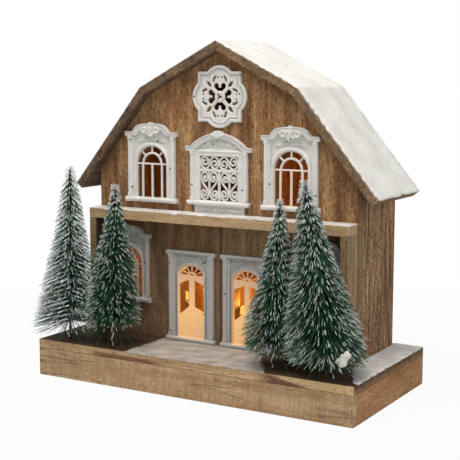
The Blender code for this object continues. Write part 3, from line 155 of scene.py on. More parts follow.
# The camera stands a metre off, a little to the right and just above the roof's height.
lens = bpy.data.cameras.new("camera")
lens.sensor_width = 36
lens.lens = 86.22
bpy.context.scene.camera = put(
    "camera", lens, location=(0.53713, -0.89265, 0.29110),
    rotation_euler=(math.radians(82.186), 0, math.radians(30.659)))
bpy.context.scene.view_settings.view_transform = "Standard"


# Plinth: five rough-sawn softwood boards, stained light tan. Each board has its own cut from the
# log, so its grain is shifted by its own amount. The front one's top edge shows pale sapwood.

def coat(tree, colour, pattern, start, end, most, tone):
    """A coat of one tone: none where a pattern is at its start, the most where it is at its
    end."""
    share = add(tree, "MapRange", {"Value": pattern, "From Min": start, "From Max": end,
                                   "To Max": most})
    return add(tree, "Mix", {"Factor": share, "A": colour, "B": tone}, data_type="RGBA")


def dress(name, material):
    """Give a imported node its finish."""
    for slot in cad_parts[name].material_slots:
        slot.material = material


def board(name, tones, seed, along="Z", red=0.0, pores=0.6, rings=8.0, lines=0.6, saw=0.0,
          figure=None):
    """Finish a packed board as rough-sawn softwood, stained and rubbed back.

    The eye sees broad soft growth bands along the board, a dark line of late wood where two
    bands meet, fine fibres, short dark open pores, patches where the stain went red, and paler
    rubbed edges. Tones are dark, middle and light; rings is the width of a growth band in
    millimetres; saw is how dark the saw's marks across the grain are; figure paints what is
    the board's own.
    """
    material, tree, place = blank("stained pine, " + name.replace("_", " "))
    shift = (0.371 * seed, 0.613 * seed, 0.297 * seed)
    fibres, dashes = (
        add(tree, "Mapping", {"Vector": place, "Location": shift,
                              "Scale": [drawn_out if axis == along else 1 for axis in "XYZ"]})
        for drawn_out in (0.07, 0.36))
    growth, fine, pore, patch, speck = (
        add(tree, "TexNoise", {"Vector": drawn, "Scale": 1000 / size, "Detail": detail,
                               "Roughness": rough, "Distortion": bent})
        for drawn, size, detail, rough, bent in (
            (fibres, rings, 3, 0.55, 0.5), (fibres, 1.5, 4, 0.7, 0), (dashes, 1.3, 2, 0.6, 0),
            (dashes, 24, 3, 0.6, 0), (dashes, 1.2, 2, 0.7, 0)))

    fibre = add(tree, "Mix", {"A": fine, "B": speck, "Factor": 0.6})
    grain = add(tree, "Mix", {"A": growth, "B": fibre, "Factor": 0.6})
    colour = add(tree, "ValToRGB", {0: grain}, list(zip((0.4, 0.5, 0.6), tones)))
    colour = coat(tree, colour, patch, 0.56, 0.36, 0.5, tones[0])
    if red:
        colour = coat(tree, colour, patch, 0.54, 0.68, red, "#7c3a18")
    if figure:
        colour = figure(tree, place, colour, grain)
    if saw:
        strokes = add(tree, "Mapping", {
            "Vector": place, "Scale": [1 if axis == along else 0.06 for axis in "XYZ"]})
        comb = add(tree, "TexNoise", {"Vector": strokes, "Scale": 1000 / 1.7, "Detail": 2.0,
                                      "Roughness": 0.7})
        colour = coat(tree, colour, comb, 0.47, 0.62, saw, "#74522f")
    ring = add(tree, "Math", {0: growth, 1: 7.0}, operation="MULTIPLY")
    ring = add(tree, "Math", {0: ring, 1: 1.0}, operation="PINGPONG")
    late = add(tree, "MapRange", {"Value": ring, "From Min": 0.16, "From Max": 0.0,
                                  "To Max": lines})
    late = add(tree, "Math", {0: late, 1: pore}, operation="MULTIPLY")
    open_pore = add(tree, "MapRange", {"Value": pore, "From Min": 0.53, "From Max": 0.7,
                                       "To Max": pores})
    rounded = add(tree, "Bevel", {"Radius": 0.9 * MM}, samples=4)
    facing = add(tree, "VectorMath", {
        0: rounded, 1: add(tree, "NewGeometry", out="True Normal")}, operation="DOT_PRODUCT")
    rubbed = add(tree, "MapRange", {"Value": facing, "From Min": 0.995, "From Max": 0.86,
                                    "To Max": 0.55})
    rubbed = add(tree, "Math", {0: rubbed, 1: patch}, operation="MULTIPLY")
    for share, tone in ((late, "#4a2c16"), (open_pore, "#2e1a0c"), (rubbed, "#a98c66")):
        colour = add(tree, "Mix", {"Factor": share, "A": colour, "B": tone}, data_type="RGBA")

    lift = add(tree, "Math", {0: fine, 1: open_pore}, operation="SUBTRACT")
    rough = add(tree, "Bump", {"Height": lift, "Normal": rounded, "Strength": 0.8,
                               "Distance": 0.25 * MM})
    dry = add(tree, "MapRange", {"Value": fine, "To Min": 0.72, "To Max": 0.92})
    add(tree, "OutputMaterial", {0: add(tree, "BsdfPrincipled", {
        "Base Color": colour, "Roughness": dry, "Normal": rough, "Specular IOR Level": 0.3})})
    dress(name, material)


def sawn_front(tree, place, colour, grain):
    """The top board's front edge: tan, with a red-brown streak low on the left, and on the right
    brown under a slanting line and pale sapwood over it. Its right end is stained dark along
    the top."""
    at = add(tree, "SeparateXYZ", {0: place}).node.outputs
    slant = add(tree, "VectorMath", {0: place, 1: (25, 0, 125)}, operation="DOT_PRODUCT")
    swing = add(tree, "Math", {0: grain, 1: 0.9, 2: slant}, operation="MULTIPLY_ADD")
    share = {label: add(tree, "MapRange", {"Value": source, "From Min": start, "From Max": end})
             for label, source, start, end in (
                 ("pale", swing, 7.3, 7.42), ("under", swing, 7.3, 7.0),
                 ("right", at["X"], 0.072, 0.092), ("low", at["Z"], 0.0328, 0.0308),
                 ("from", at["X"], -0.112, -0.092), ("to", at["X"], -0.018, -0.04),
                 ("front", at["Y"], -0.0699, -0.0703), ("end", at["X"], 0.1694, 0.1698))}
    edge = add(tree, "ValToRGB", {0: grain},
               [(0.4, "#a08160"), (0.5, "#bd9d77"), (0.6, "#cfb18c")])
    for labels, tone in ((("under", "right"), "#75503a"), (("low", "from", "to"), "#7f5a42"),
                         (("pale", "right"), "#cfb283")):
        streak = share[labels[0]]
        for label in labels[1:]:
            streak = add(tree, "Math", {0: streak, 1: share[label]}, operation="MULTIPLY")
        edge = add(tree, "Mix", {"Factor": streak, "A": edge, "B": tone}, data_type="RGBA")
    ragged = add(tree, "Math", {0: grain, 1: 0.03, 2: at["Z"]}, operation="MULTIPLY_ADD")
    end_grain = coat(tree, "#8b6c4b", ragged, 0.0455, 0.0485, 0.85, "#49331f")
    for label, painted in (("end", end_grain), ("front", edge)):
        colour = add(tree, "Mix", {"Factor": share[label], "A": colour, "B": painted},
                     data_type="RGBA")
    return colour


tan_tones = ("#9c7d5b", "#bd9e79", "#cfb391")
board("base_top_board", ("#37271b", "#4e3a29", "#6d5540"), 3, "X", rings=6, pores=0.5,
      figure=sawn_front)
board("base_front_board", tan_tones, 11, "X", rings=18, pores=0.15, lines=1.0, saw=0.3)
board("base_back_board", tan_tones, 17, "X", rings=18, pores=0.3, lines=1.0, saw=0.22)
board("base_right_board", ("#966b45", "#bf8d60", "#d2a87d"), 5, "Y", rings=9, red=0.3, saw=0.2)
board("base_left_board", tan_tones, 7, "Y", rings=12, saw=0.2)


# House body: a façade of three boards with upright grain, two side walls and a back. The stain
# took unevenly on the rough face, red in places, and the lower boards are the darkest.

def meeting_edge(tree, place, colour, grain):
    """The edge where the two lower boards meet is dark with dirt: a line a millimetre wide."""
    aside = add(tree, "SeparateXYZ", {0: place}, out="X")
    aside = add(tree, "Math", {0: aside}, operation="ABSOLUTE")
    return coat(tree, colour, aside, 1.0 * MM, 0.5 * MM, 0.85, "#2c1910")


def painted_shade_inside(tree, place, colour, grain):
    """Painted shade on the back board's inner face: almost black under the ridge, and dark where
    the grille and the fanlights over the doors look in on it."""
    at = add(tree, "SeparateXYZ", {0: place}).node.outputs
    beside, between = (
        add(tree, "Math", {0: add(tree, "Math", {0: value, 1: middle * MM},
                                  operation="SUBTRACT")}, operation="ABSOLUTE")
        for value, middle in ((at["X"], -56), (at["Z"], 101)))
    grille_side, above_shelf, ridge, fanlights = (
        add(tree, "MapRange", {"Value": value, "From Min": start * MM, "From Max": end * MM,
                               "To Max": most})
        for value, start, end, most in ((beside, 40, 30, 0.85), (at["Z"], 140, 165, 1),
                                        (at["Z"], 232, 246, 0.9), (between, 16, 11, 0.8)))
    inner = add(tree, "Math", {0: at["Y"], 1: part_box("back_wall")[0].y + 0.2 * MM},
                operation="LESS_THAN")
    # Painted shade: beside the grille above the shelf, under the ridge and behind the fanlights,
    # on the inner face only.
    inside_shade = grille_side
    for other, way in ((above_shelf, "MULTIPLY"), (ridge, "MAXIMUM"), (fanlights, "MAXIMUM"),
                       (inner, "MULTIPLY")):
        inside_shade = add(tree, "Math", {0: inside_shade, 1: other}, operation=way)
    return add(tree, "Mix", {"Factor": inside_shade, "A": colour, "B": "#1c110c"}, data_type="RGBA")


brown_tones = ("#654328", "#a07850", "#c49e70")
board("facade_upper", brown_tones, 2, red=0.6, rings=9, pores=0.55, lines=0.95)
board("facade_lower_left", ("#5a4530", "#856849", "#a58663"), 9, red=0.4, rings=9,
      figure=meeting_edge)
board("facade_lower_right", ("#63503a", "#947957", "#b59a74"), 13, red=0.3, rings=9,
      figure=meeting_edge)
board("right_wall", ("#432d1c", "#9a7656", "#d6b48c"), 21, rings=4, pores=0.95, lines=1.2)
board("left_wall", brown_tones, 25, pores=0.7)
board("back_wall", brown_tones, 29, rings=12, red=0.4, figure=painted_shade_inside)


# Porch: a shelf on two short panels, of a lighter board with an olive cast on its cut edges.
# The shelf lies on the panels' upper ends.

def painted_shade_inner_face(tree, place, colour, grain):
    """Painted shade of the shelf: the inner face of a porch panel is darkened to nearly
    black-brown.
    """
    aside = add(tree, "SeparateXYZ", {0: place}, out="X")
    aside = add(tree, "Math", {0: aside}, operation="ABSOLUTE")
    return coat(tree, colour, aside, 134.2 * MM, 133.7 * MM, 0.8, "#2b1c13")


olive_tones = ("#776346", "#9a8261", "#b59d75")
board("porch_shelf", ("#a08563", "#bfa27d", "#d0b48e"), 31, "X", rings=10, pores=0.2)
board("porch_left_panel", olive_tones, 33, rings=6, pores=0.45, figure=painted_shade_inner_face)
board("porch_right_panel", olive_tones, 37, rings=6, pores=0.45, figure=painted_shade_inner_face)


# Roof: four boards, two to a side. Their long grain runs from front to back, so the front edge
# is fibrous end grain that has gone grey-brown.

for name, tones, seed in (
        ("roof_left_lower", ("#3d3026", "#68523f", "#8a745c"), 41),
        ("roof_left_upper", ("#46382b", "#725b46", "#927b62"), 43),
        ("roof_right_lower", ("#5c4a38", "#86694f", "#a58c6c"), 47),
        ("roof_right_upper", ("#5c4a38", "#86694f", "#a58c6c"), 53)):
    board(name, tones, seed, "Y", rings=5, pores=0.5)


# Snow: white flock on glue, brushed over both sides of the roof, the porch shelf, and the plinth
# before the doors and down its right side. It is about a millimetre thick, and the wood shows
# past its ragged edges, where the sheet dips under the surface it lies on.

snow, tree, place = blank("white flocked snow")
drift, flocking, speckle = (
    add(tree, "TexNoise", {"Vector": place, "Scale": 1000 / size, "Detail": detail,
                           "Roughness": rough})
    for size, detail, rough in ((28, 4, 0.6), (1.1, 3, 0.7), (2.2, 1, 0.5)))
tone = add(tree, "ValToRGB", {0: drift}, [(0.32, "#dcdad4"), (0.5, "#e9e8e4"), (0.7, "#f1f1ef")])
tone = coat(tree, tone, speckle, 0.66, 0.74, 0.55, "#8f897e")
threadbare = add(tree, "MapRange", {"Value": flocking, "From Min": 0.3, "From Max": 0.7,
                                    "To Min": 0.55, "To Max": 1.35})
threadbare = add(tree, "Math", {0: add(tree, "Attribute", out="Fac", attribute_name="worn"),
                                1: threadbare}, operation="MULTIPLY", use_clamp=True)
tone = add(tree, "Mix", {"Factor": threadbare, "A": tone, "B": "#7d6b5b"}, data_type="RGBA")
fluff = add(tree, "Bump", {"Height": flocking, "Strength": 0.7, "Distance": 0.5 * MM})
add(tree, "OutputMaterial", {0: add(tree, "BsdfPrincipled", {
    "Base Color": tone, "Normal": fluff, "Roughness": 0.92, "Specular IOR Level": 0.2})})


def piece(name, points, faces, material, marks=None, crease=None):
    """A finished piece of the house, from points in metres and faces. Marks are named values,
    one to a point, that its material reads. Edges bent by more than crease degrees stay
    sharp."""
    mesh = bpy.data.meshes.new(name)
    mesh.from_pydata(points, [], faces)
    mesh.shade_smooth()
    if crease:
        mesh.set_sharp_from_angle(angle=math.radians(crease))
    for label, values in (marks or {}).items():
        mesh.attributes.new(label, "FLOAT", "POINT").data.foreach_set(
            "value", values.astype(np.float32))
    mesh.materials.append(material)
    made = put(name, mesh)
    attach(made, "house")
    return made


def ripple(u, v, size, seed):
    """Smooth random field, mostly between -1 and 1: a sum of 24 seeded sine waves that run in
    all directions, with lengths around the given size."""
    pick = np.random.default_rng(seed)
    total = 0.0
    for _ in range(24):
        turn, phase = pick.uniform(0, 2 * np.pi, 2)
        count = 2 * np.pi / (size * pick.uniform(0.6, 1.6))
        total = total + np.sin((u * np.cos(turn) + v * np.sin(turn)) * count + phase)
    return total / 5


def sheet(name, slot, top, bottom, worn=None):
    """Closed sheet of snow between two grids of points in millimetres, with walls round their
    border. Worn says how far the wood shows through at each point."""
    rows, columns = top.shape[:2]
    count = rows * columns
    index = np.arange(count).reshape(rows, columns)
    quads = np.stack([index[:-1, :-1], index[1:, :-1], index[1:, 1:], index[:-1, 1:]],
                     -1).reshape(-1, 4)
    border = np.concatenate([index[:-1, 0], index[-1, :-1], index[:0:-1, -1], index[0, :0:-1]])
    after = np.roll(border, -1)
    walls = np.stack([after, border, border + count, after + count], -1)
    points = np.concatenate([top.reshape(-1, 3), bottom.reshape(-1, 3)]) * MM
    piece(name, points, np.concatenate([quads, quads[:, ::-1] + count, walls]), snow,
          None if worn is None else {"worn": np.tile(worn.ravel(), 2)})


sunk = -0.5          # where a sheet's underside lies, in millimetres from the wood's face


def flock(inside, u, v, thick, seed):
    """Height of the snow over the wood: it climbs from 0.3 mm under it to its full thickness
    within 2.5 mm of its edge, and is uneven all over."""
    climb = np.clip((inside + 0.5) / 2.5, 0, 1)
    lumps = 1 + 0.1 * ripple(u, v, 30, seed) + 0.05 * ripple(u, v, 7, seed + 1)
    return -0.3 + (thick * np.maximum(lumps, 0.3) + 0.3) * climb ** 0.6


def lengths(path):
    """How far along a path each of its points lies."""
    return np.concatenate([[0], np.cumsum(np.hypot(*np.diff(path, axis=0).T))])


# The roof's section: the line of its top from the ridge over the break to the eave, and round
# the eave's edge to its underside. The sheet lies along it, square to it at every point.
roof_line = np.array([(0.0, 326.3), (85.3, 283.1), (164.9, 186.8), (158.8, 181.6)])
stations = lengths(roof_line)
eave = stations[2]
run = np.concatenate([np.linspace(0, eave - 4, 120), np.linspace(eave - 3.5, stations[3], 24)])
line, ahead, behind = (
    np.stack([np.interp(run + shift, stations, roof_line[:, k]) for k in (0, 1)], 1)
    for shift in (0, 1.5, -1.5))
ahead[-1] = ahead[-2]
heading = ahead - behind
heading /= np.hypot(*heading.T)[:, None]
heading[:3] = heading[3]
outward = np.stack([-heading[:, 1], heading[:, 0]], 1)
u, v = np.meshgrid(run, np.linspace(-13.9, 84.5, 150), indexing="ij")
for name, side, seed in (("roof_snow_right", 1, 60), ("roof_snow_left", -1, 80)):
    ragged = 1.1 + 1.0 * ripple(u, v * 0, 9, seed) + 0.6 * ripple(u, v * 0, 2.6, seed + 1)
    front = v + 13.7 - np.maximum(ragged, 0.1)
    back = 84.3 - v - np.maximum(0.8 + 0.7 * ripple(u, v * 0, 8, seed + 2), 0.1)
    lip = eave + 0.6 + 0.9 * ripple(v, u * 0, 16, seed + 3) - u
    inside = np.minimum(np.minimum(front, back), lip)
    shells = []
    for lift in (flock(inside, u, v, 1.0, seed + 4), 0 * v + sunk):
        x, z = (line[:, None, k] + outward[:, None, k] * lift for k in (0, 1))
        shells.append(np.stack([side * x, v, z], -1)[::side])
    sheet(name, "roof_board", *shells)


plinth_top = 35.8


def lying(name, xs, ys, plan, thick, seed, worn):
    """A patch of snow on the plinth: plan says how far inside its edge a point lies."""
    x, y = np.meshgrid(xs, ys, indexing="ij")
    ragged = 1.3 * ripple(x, y, 11, seed) + 0.7 * ripple(x, y, 3, seed + 1)
    lift = flock(plan(x, y) + ragged, x, y, thick, seed + 2)
    top, under = (np.stack([x, y, plinth_top + rise], -1) for rise in (lift, 0 * x + sunk))
    worn = np.clip(worn + 0.08 * ripple(x, y, 18, seed + 3), 0, 1)
    sheet(name, "plinth_board", top, under, worn)


# The front patch before the doors is a thin glaze; the one on the right runs back to the rear.
lying("door_snow", np.linspace(-74, 84, 200), np.linspace(-70.7, -4.0, 90),
      lambda x, y: np.minimum.reduce([x + 67, 84.8 - x - 0.63 * (y + 71), y + 71.6, -4.6 - y]),
      0.4, 101, 0.7)
lying("side_snow", np.linspace(141.6, 170.1, 50), np.linspace(-62, 90, 200),
      lambda x, y: np.minimum.reduce([x - 148 + 0.5 * np.minimum(y + 25, 0)
                                      + 0.4 * np.maximum(y + 25, 0), 170.4 - x, 92 - y]),
      0.7, 111, 0.1)

# On the shelf the flock lies thick at the back and hangs over the front edge in short drips.
shelf_line = np.array([(-3.8, 163.7), (-22.9, 163.7), (-22.9, 156.5)])
stations = lengths(shelf_line)
edge = stations[1]
run = np.concatenate([np.linspace(0, edge - 1.2, 36), np.linspace(edge - 0.9, stations[2], 26)])
u, v = np.meshgrid(run, np.linspace(-141.8, 141.8, 420), indexing="ij")
drips = 1.6 * np.maximum(ripple(v, u * 0, 26, 121) - 0.2, 0) ** 2 - 0.2
drips = drips + 0.4 * ripple(v, u * 0, 6, 122)
lift = flock(np.minimum(edge + drips - u, 141.9 - abs(v)), u, v, 0.6, 123)
turned = np.clip((u - edge + 0.9) / 1.8, 0, 1) * np.pi / 2
y, z = (np.interp(u, stations, shelf_line[:, k]) for k in (0, 1))
top, under = (np.stack([v, y - rise * np.sin(turned), z + rise * np.cos(turned)], -1)
              for rise in (lift, sunk))
sheet("shelf_snow", "porch_board", top, under,
      np.clip(0.36 + 0.14 * ripple(v, u, 20, 125) - 0.3 * (u > edge), 0, 1))


# Castings: four windows, two doors, a balcony grille and a rosette, moulded in white plastic with
# soft draft on every step, and pinned over holes sawn in the façade. Each is one relief: a height
# above its flat back for every point of its face. Lengths here are in millimetres.

back_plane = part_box("window_upper_left")[1].y

# White moulded plastic: a warm white with a soft sheen, made greyer by painted shade in the
# carving's hollows and recesses and under the shelf. Where it is thin it carries a painted glow
# of the three lamps behind, cream at the middle of each one's glow and amber further off.
casting_white, tree, place = blank("moulded white polystyrene")
clouds, pebble = (
    add(tree, "TexNoise", {"Vector": place, "Scale": 1000 / size, "Detail": detail,
                           "Roughness": rough})
    for size, detail, rough in ((9, 4, 0.6), (0.9, 2, 0.5)))
tone = add(tree, "ValToRGB", {0: clouds},
           [(0.3, "#d4d3cf"), (0.55, "#deddda"), (0.8, "#e5e4e1")])
hollow = add(tree, "AmbientOcclusion", {"Distance": 3.0 * MM}, out="AO", samples=4)
at = add(tree, "SeparateXYZ", {0: place}).node.outputs
# Painted shade: in hollows by ambient occlusion, on the low ground near the back plane, and below
# the shelf.
nook, deep, porch_shade = (
    add(tree, "MapRange", {"Value": value, "From Min": start, "From Max": end, "To Max": most})
    for value, start, end, most in (
        (hollow, 0.8, 0.25, 0.12),
        (at["Y"], back_plane - 1.5 * MM, back_plane - 0.8 * MM, 0.04),
        (at["Z"], 158 * MM, 150 * MM, 0.58)))
painted_casting_shade = add(tree, "Math", {0: nook, 1: deep}, operation="MAXIMUM")
painted_casting_shade = add(tree, "Math", {0: painted_casting_shade, 1: porch_shade}, operation="ADD", use_clamp=True)
tone = add(tree, "Mix", {"Factor": painted_casting_shade, "A": tone, "B": "#94938f"}, data_type="RGBA")
skin = add(tree, "Bump", {"Height": pebble, "Strength": 0.25, "Distance": 0.08 * MM})
sheen = add(tree, "MapRange", {"Value": clouds, "To Min": 0.42, "To Max": 0.62})
# Painted glow, centred where each lamp's light falls strongest on the castings, in millimetres.
glow = 0.0
for spot in ((15.5, 11.6, 62.0), (-42.0, 11.6, 66.0), (30.0, 15.0, 180.0)):
    reach = add(tree, "VectorMath", {0: place, 1: [c * MM for c in spot]}, operation="DISTANCE")
    near = add(tree, "MapRange", {"Value": reach, "From Min": 74 * MM, "From Max": 16 * MM})
    glow = add(tree, "Math", {0: glow, 1: near}, operation="MAXIMUM")
lit = add(tree, "Math", {0: glow, 1: add(tree, "Attribute", out="Fac", attribute_name="thin")},
          operation="MULTIPLY")
tone = add(tree, "Mix", {"Factor": lit, "A": tone, "B": "#c9b592"}, data_type="RGBA")
warm = add(tree, "ValToRGB", {0: glow}, [(0.0, "#dd7420"), (0.5, "#ea9238"), (1.0, "#f2a646")])
strength = add(tree, "Math", {0: lit, 1: 0.6}, operation="MULTIPLY")
add(tree, "OutputMaterial", {0: add(tree, "BsdfPrincipled", {
    "Base Color": tone, "Roughness": sheen, "Normal": skin, "IOR": 1.49,
    "Emission Color": warm, "Emission Strength": strength})})


def block(x, z, foot, half, rise):
    """How far inside an upright block on the middle line a point lies: the nearest side's
    distance."""
    return np.minimum(half - abs(x), rise / 2 - abs(z - foot - rise / 2))


def step(distance, draft=0.35):
    """0 outside a shape and 1 inside it, with a smooth rise over the draft on both sides."""
    share = np.clip(distance / draft / 2 + 0.5, 0, 1)
    return share * share * (3 - 2 * share)


def dome(distance, width):
    """Quarter-round rise from 0 at an edge to 1 at width inside it."""
    share = np.clip(distance / width, 0, 1)
    return np.sqrt(share * (2 - share))


def half_round(aside, half):
    """Half-round bead: 1 on its middle line, down to 0 at half its width aside."""
    return np.sqrt(np.clip(1 - (aside / half) ** 2, 0, 1))


def nearest(x, z, lines):
    """Distance from each point of the face to the nearest of the lines, piece by piece."""
    best = np.full(x.shape, 1e9)
    for line in lines:
        line = np.asarray(line)
        for (ax, az), (bx, bz) in zip(line[:-1], line[1:]):
            dx, dz = bx - ax, bz - az
            along = np.clip(((x - ax) * dx + (z - az) * dz) / (dx * dx + dz * dz), 0, 1)
            best = np.minimum(best, np.hypot(x - ax - along * dx, z - az - along * dz))
    return best


def curl(x, z, start, end, outer, inner, points=22):
    """Spiral round a middle from one angle to another in degrees, its radius closing evenly."""
    angle = np.radians(np.linspace(start, end, points))
    radius = np.linspace(outer, inner, points)
    return np.stack([x + radius * np.cos(angle), z + radius * np.sin(angle)], 1)


def through(points, steps=5):
    """A smooth line through points: each stretch is a cubic whose end slopes are half of the
    step between the points before and after."""
    p = np.asarray(points, float)
    p = np.concatenate([[2 * p[0] - p[1]], p, [2 * p[-1] - p[-2]]])
    t = (np.arange(steps) / steps)[None, :, None]
    before, a, b, after = (p[k:len(p) - 3 + k, None] for k in range(4))
    leaving, arriving = (b - before) / 2, (after - a) / 2
    curve = (a + leaving * t + (3 * (b - a) - 2 * leaving - arriving) * t ** 2
             + (2 * (a - b) + leaving + arriving) * t ** 3)
    return np.concatenate([curve.reshape(-1, 2), p[-2:-1]])


def mirrored(lines):
    """The lines and their mirror images across the middle."""
    return list(lines) + [np.asarray(line) * (-1, 1) for line in lines]


moulded = {}         # each casting's height, and where its drawing's zero is: x in mm, z in m


def relief(node, half, foot, top, solid, height, middle=0.0, level=None, pitch=0.36, thin=None):
    """One casting, as a closed solid, from what is solid on its face and how high it stands.

    A square grid of points covers the face, half to each side and from foot to top. Squares
    whose middle is solid stay. Points on the border of what stays slide along the slope of the
    solid function until it is zero, so holes and outlines are smooth. The front point stands
    height in front of the flat back plane, and a wall joins front and back all round. Thin
    says where the plastic carries the lamps' painted glow. Middle and level place it on the
    façade.
    """
    x, z = np.meshgrid(np.arange(-half, half + pitch, pitch),
                       np.arange(foot, top + pitch, pitch), indexing="ij")
    keep = solid(x[:-1, :-1] + pitch / 2, z[:-1, :-1] + pitch / 2) > 0
    # Squares that meet at one corner only are parted, as the solid would pinch there.
    here, over, right, beyond = keep[:-1, :-1], keep[:-1, 1:], keep[1:, :-1], keep[1:, 1:]
    for _ in range(3):
        pinch = (here & beyond & ~over & ~right) | (~here & ~beyond & over & right)
        here &= ~pinch
        over &= ~pinch
    rows, columns = keep.shape
    around = np.zeros(x.shape, int)
    for i in (0, 1):
        for k in (0, 1):
            around[i:i + rows, k:k + columns] += keep
    # The border slides onto the outline, each point by little more than half a square.
    border = (around > 0) & (around < 4)
    bx, bz = x[border], z[border]
    for _ in range(4):
        slope_x, slope_z = ((solid(bx + dx, bz + dz) - solid(bx - dx, bz - dz)) / 0.06
                            for dx, dz in ((0.03, 0), (0, 0.03)))
        share = solid(bx, bz) / np.maximum(slope_x ** 2 + slope_z ** 2, 0.2)
        bx, bz = bx - share * slope_x, bz - share * slope_z
    limit = 0.62 * pitch
    x[border] += np.clip(bx - x[border], -limit, limit)
    z[border] += np.clip(bz - z[border], -limit, limit)

    # The faces of the front, the back, and the wall on every side where no square is next.
    used = around > 0
    count = used.sum()
    number = np.full(x.shape, -1)
    number[used] = np.arange(count)
    corners = np.stack([number[:-1, :-1], number[1:, :-1], number[1:, 1:], number[:-1, 1:]], -1)
    padded = np.pad(keep, 1)
    faces = [corners[keep], corners[keep][:, ::-1] + count]
    for side, (di, dk) in enumerate(((0, -1), (1, 0), (0, 1), (-1, 0))):
        bare = corners[keep & ~padded[1 + di:1 + di + rows, 1 + dk:1 + dk + columns]]
        first, second = bare[:, side], bare[:, (side + 1) % 4]
        faces.append(np.stack([first, first + count, second + count, second], -1))
    x, z = x[used], z[used]
    points = np.concatenate([np.stack([x, -height(x, z), z], 1), np.stack([x, 0 * x, z], 1)])
    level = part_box(node)[0].z if level is None else level
    casting = piece("casting_" + node, points * MM + np.array((middle * MM, back_plane, level)),
                    np.concatenate(faces), casting_white,
                    {"thin": np.tile(thin(x, z), 2)} if thin else None, crease=50)
    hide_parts(node)
    moulded[node] = height, middle, level


# Window: an arched light with glazing bars in a frame of two pilasters under a curved head.
# These are half the widths of its head, its body, the head's arch and the light, and the heights
# of its sill, the light's springing and its knob.
window_half = 31.7
window_side = 28.6
window_arch = 21.0
window_light = 17.0
window_sill = 4.6
window_spring = 37.4
window_knob = 76.7


def window_open(x, z):
    """Inside the arched opening: 34 mm wide, rounded over its springing."""
    radius = np.hypot(x, z - window_spring)
    arch = window_light - np.where(z > window_spring, radius, abs(x))
    return np.minimum(arch, z - window_sill)


def window_bars(x, z):
    """Inside a glazing bar: three uprights, a transom, an inner ring and three spokes."""
    above = z - window_spring
    bars = 0.85 - abs(above)
    for middle in (-11.2, 0, 11.2):
        bars = np.maximum(bars, np.minimum(1.15 - abs(x - middle), -above))
    past_ring = np.hypot(x, above) - 10.7
    bars = np.maximum(bars, np.minimum(1.15 - abs(past_ring), above))
    for turn in np.radians((45, 90, 135)):
        aside = abs(x * math.sin(turn) - above * math.cos(turn))
        bars = np.maximum(bars, np.minimum.reduce([0.9 - aside, past_ring, above]))
    return bars


def crown_line(end, half):
    """Line of a head moulding across the whole width, from its right half's points."""
    right = through(half)
    level = half[-1][1]
    return np.concatenate([[(-end, level)], right[::-1] * (-1, 1), right[1:], [(end, level)]])


def across(x, z, line):
    """Distance from a head moulding's line, counted positive above it."""
    return np.where(z > np.interp(x, line[:, 0], line[:, 1]), 1, -1) * nearest(x, z, [line])


def band_half(x, arch):
    """Half the width of a head moulding: 2.1 mm on its level ends, 2.9 mm over the arch."""
    return 2.1 + 0.8 * step(arch - abs(x), 1.5)


def moulded_band(above, half, end):
    """Height of a head moulding across its width: a small foot, a smooth cove, a square lip."""
    share = np.clip((above + half) / (2 * half), 0, 1)
    band = 3.2 + 1.3 * dome(share, 0.8) + 0.9 * step(share - 0.8, 0.05)
    return band * step(above + half, 0.2) * step(end, 0.25)


def pilaster(x, z, inner, outer, foot, top):
    """Height of a pilaster: a low step on the side of the opening, and a rounded shaft that
    stands on a plain block and carries a cap."""
    along = abs(x)
    low = 2.7 * step(np.minimum(along - inner, inner + 3.2 - along), 0.2)
    shaft_inner = inner + 2.6
    middle = (shaft_inner + outer + 0.4) / 2
    turned = half_round(along - middle, (outer - shaft_inner + 0.4) / 2)
    shaft = (2.4 + 1.9 * turned) * step(along - shaft_inner, 0.2)
    foot_block = 4.5 * step(np.minimum(along - shaft_inner + 0.3, foot + 4.0 - z), 0.25)
    cap = 4.4 * step(np.minimum(along - shaft_inner + 0.3, z - top + 2.2), 0.25)
    return np.maximum.reduce([low, shaft, foot_block, cap])


# Two open volutes lean on a ribbed shell under the arch of the head, with a drop below, and a
# row of small leaves lies on the ground above the glazed arch.
window_crown = crown_line(window_half, [(0, 74.0), (5, 73.9), (10, 73.4), (14.4, 71.8),
                                        (17.3, 69.0), (19.4, 67.1), (22.4, 66.6), (27, 66.6)])
scrolls = mirrored([curl(7.2, 70.0, 165, -150, 3.2, 2.0)])
petals = [through([(0, 67.6), (0.7 * way, 71.0), (1.7 * way, 74.8 - 0.5 * abs(way))])
          for way in (-2, -1, 0, 1, 2)]
drop = [[(0, 68.0), (0, 63.9)], [(0, 66.4), (1.5, 65.0)], [(0, 66.4), (-1.5, 65.0)]]
garland = mirrored([[(0, 59.6), (0, 63.2)], [(2.0, 61.8), (1.6, 60.4)], [(3.9, 60.6), (4.7, 61.9)],
                    [(6.6, 61.8), (6.2, 60.5)], [(8.4, 60.0), (9.2, 61.3)],
                    [(10.9, 60.9), (10.5, 59.7)], [(12.7, 59.0), (13.5, 60.1)],
                    [(15, 59), (15, 59.4)]])


def window_solid(x, z):
    """Plan of a window casting, less its panes."""
    above = across(x, z, window_crown)
    body = np.minimum.reduce([window_side - abs(x), z - 0.3, -above])
    crown = np.minimum(band_half(x, window_arch) - abs(above), window_half - abs(x))
    sill = block(x, z, 0, window_half, window_sill)
    knob = 1.5 - np.hypot(x, z - window_knob)
    plan = np.maximum.reduce([body, crown, sill, knob])
    return np.minimum(plan, -np.minimum(window_open(x, z), -window_bars(x, z)))


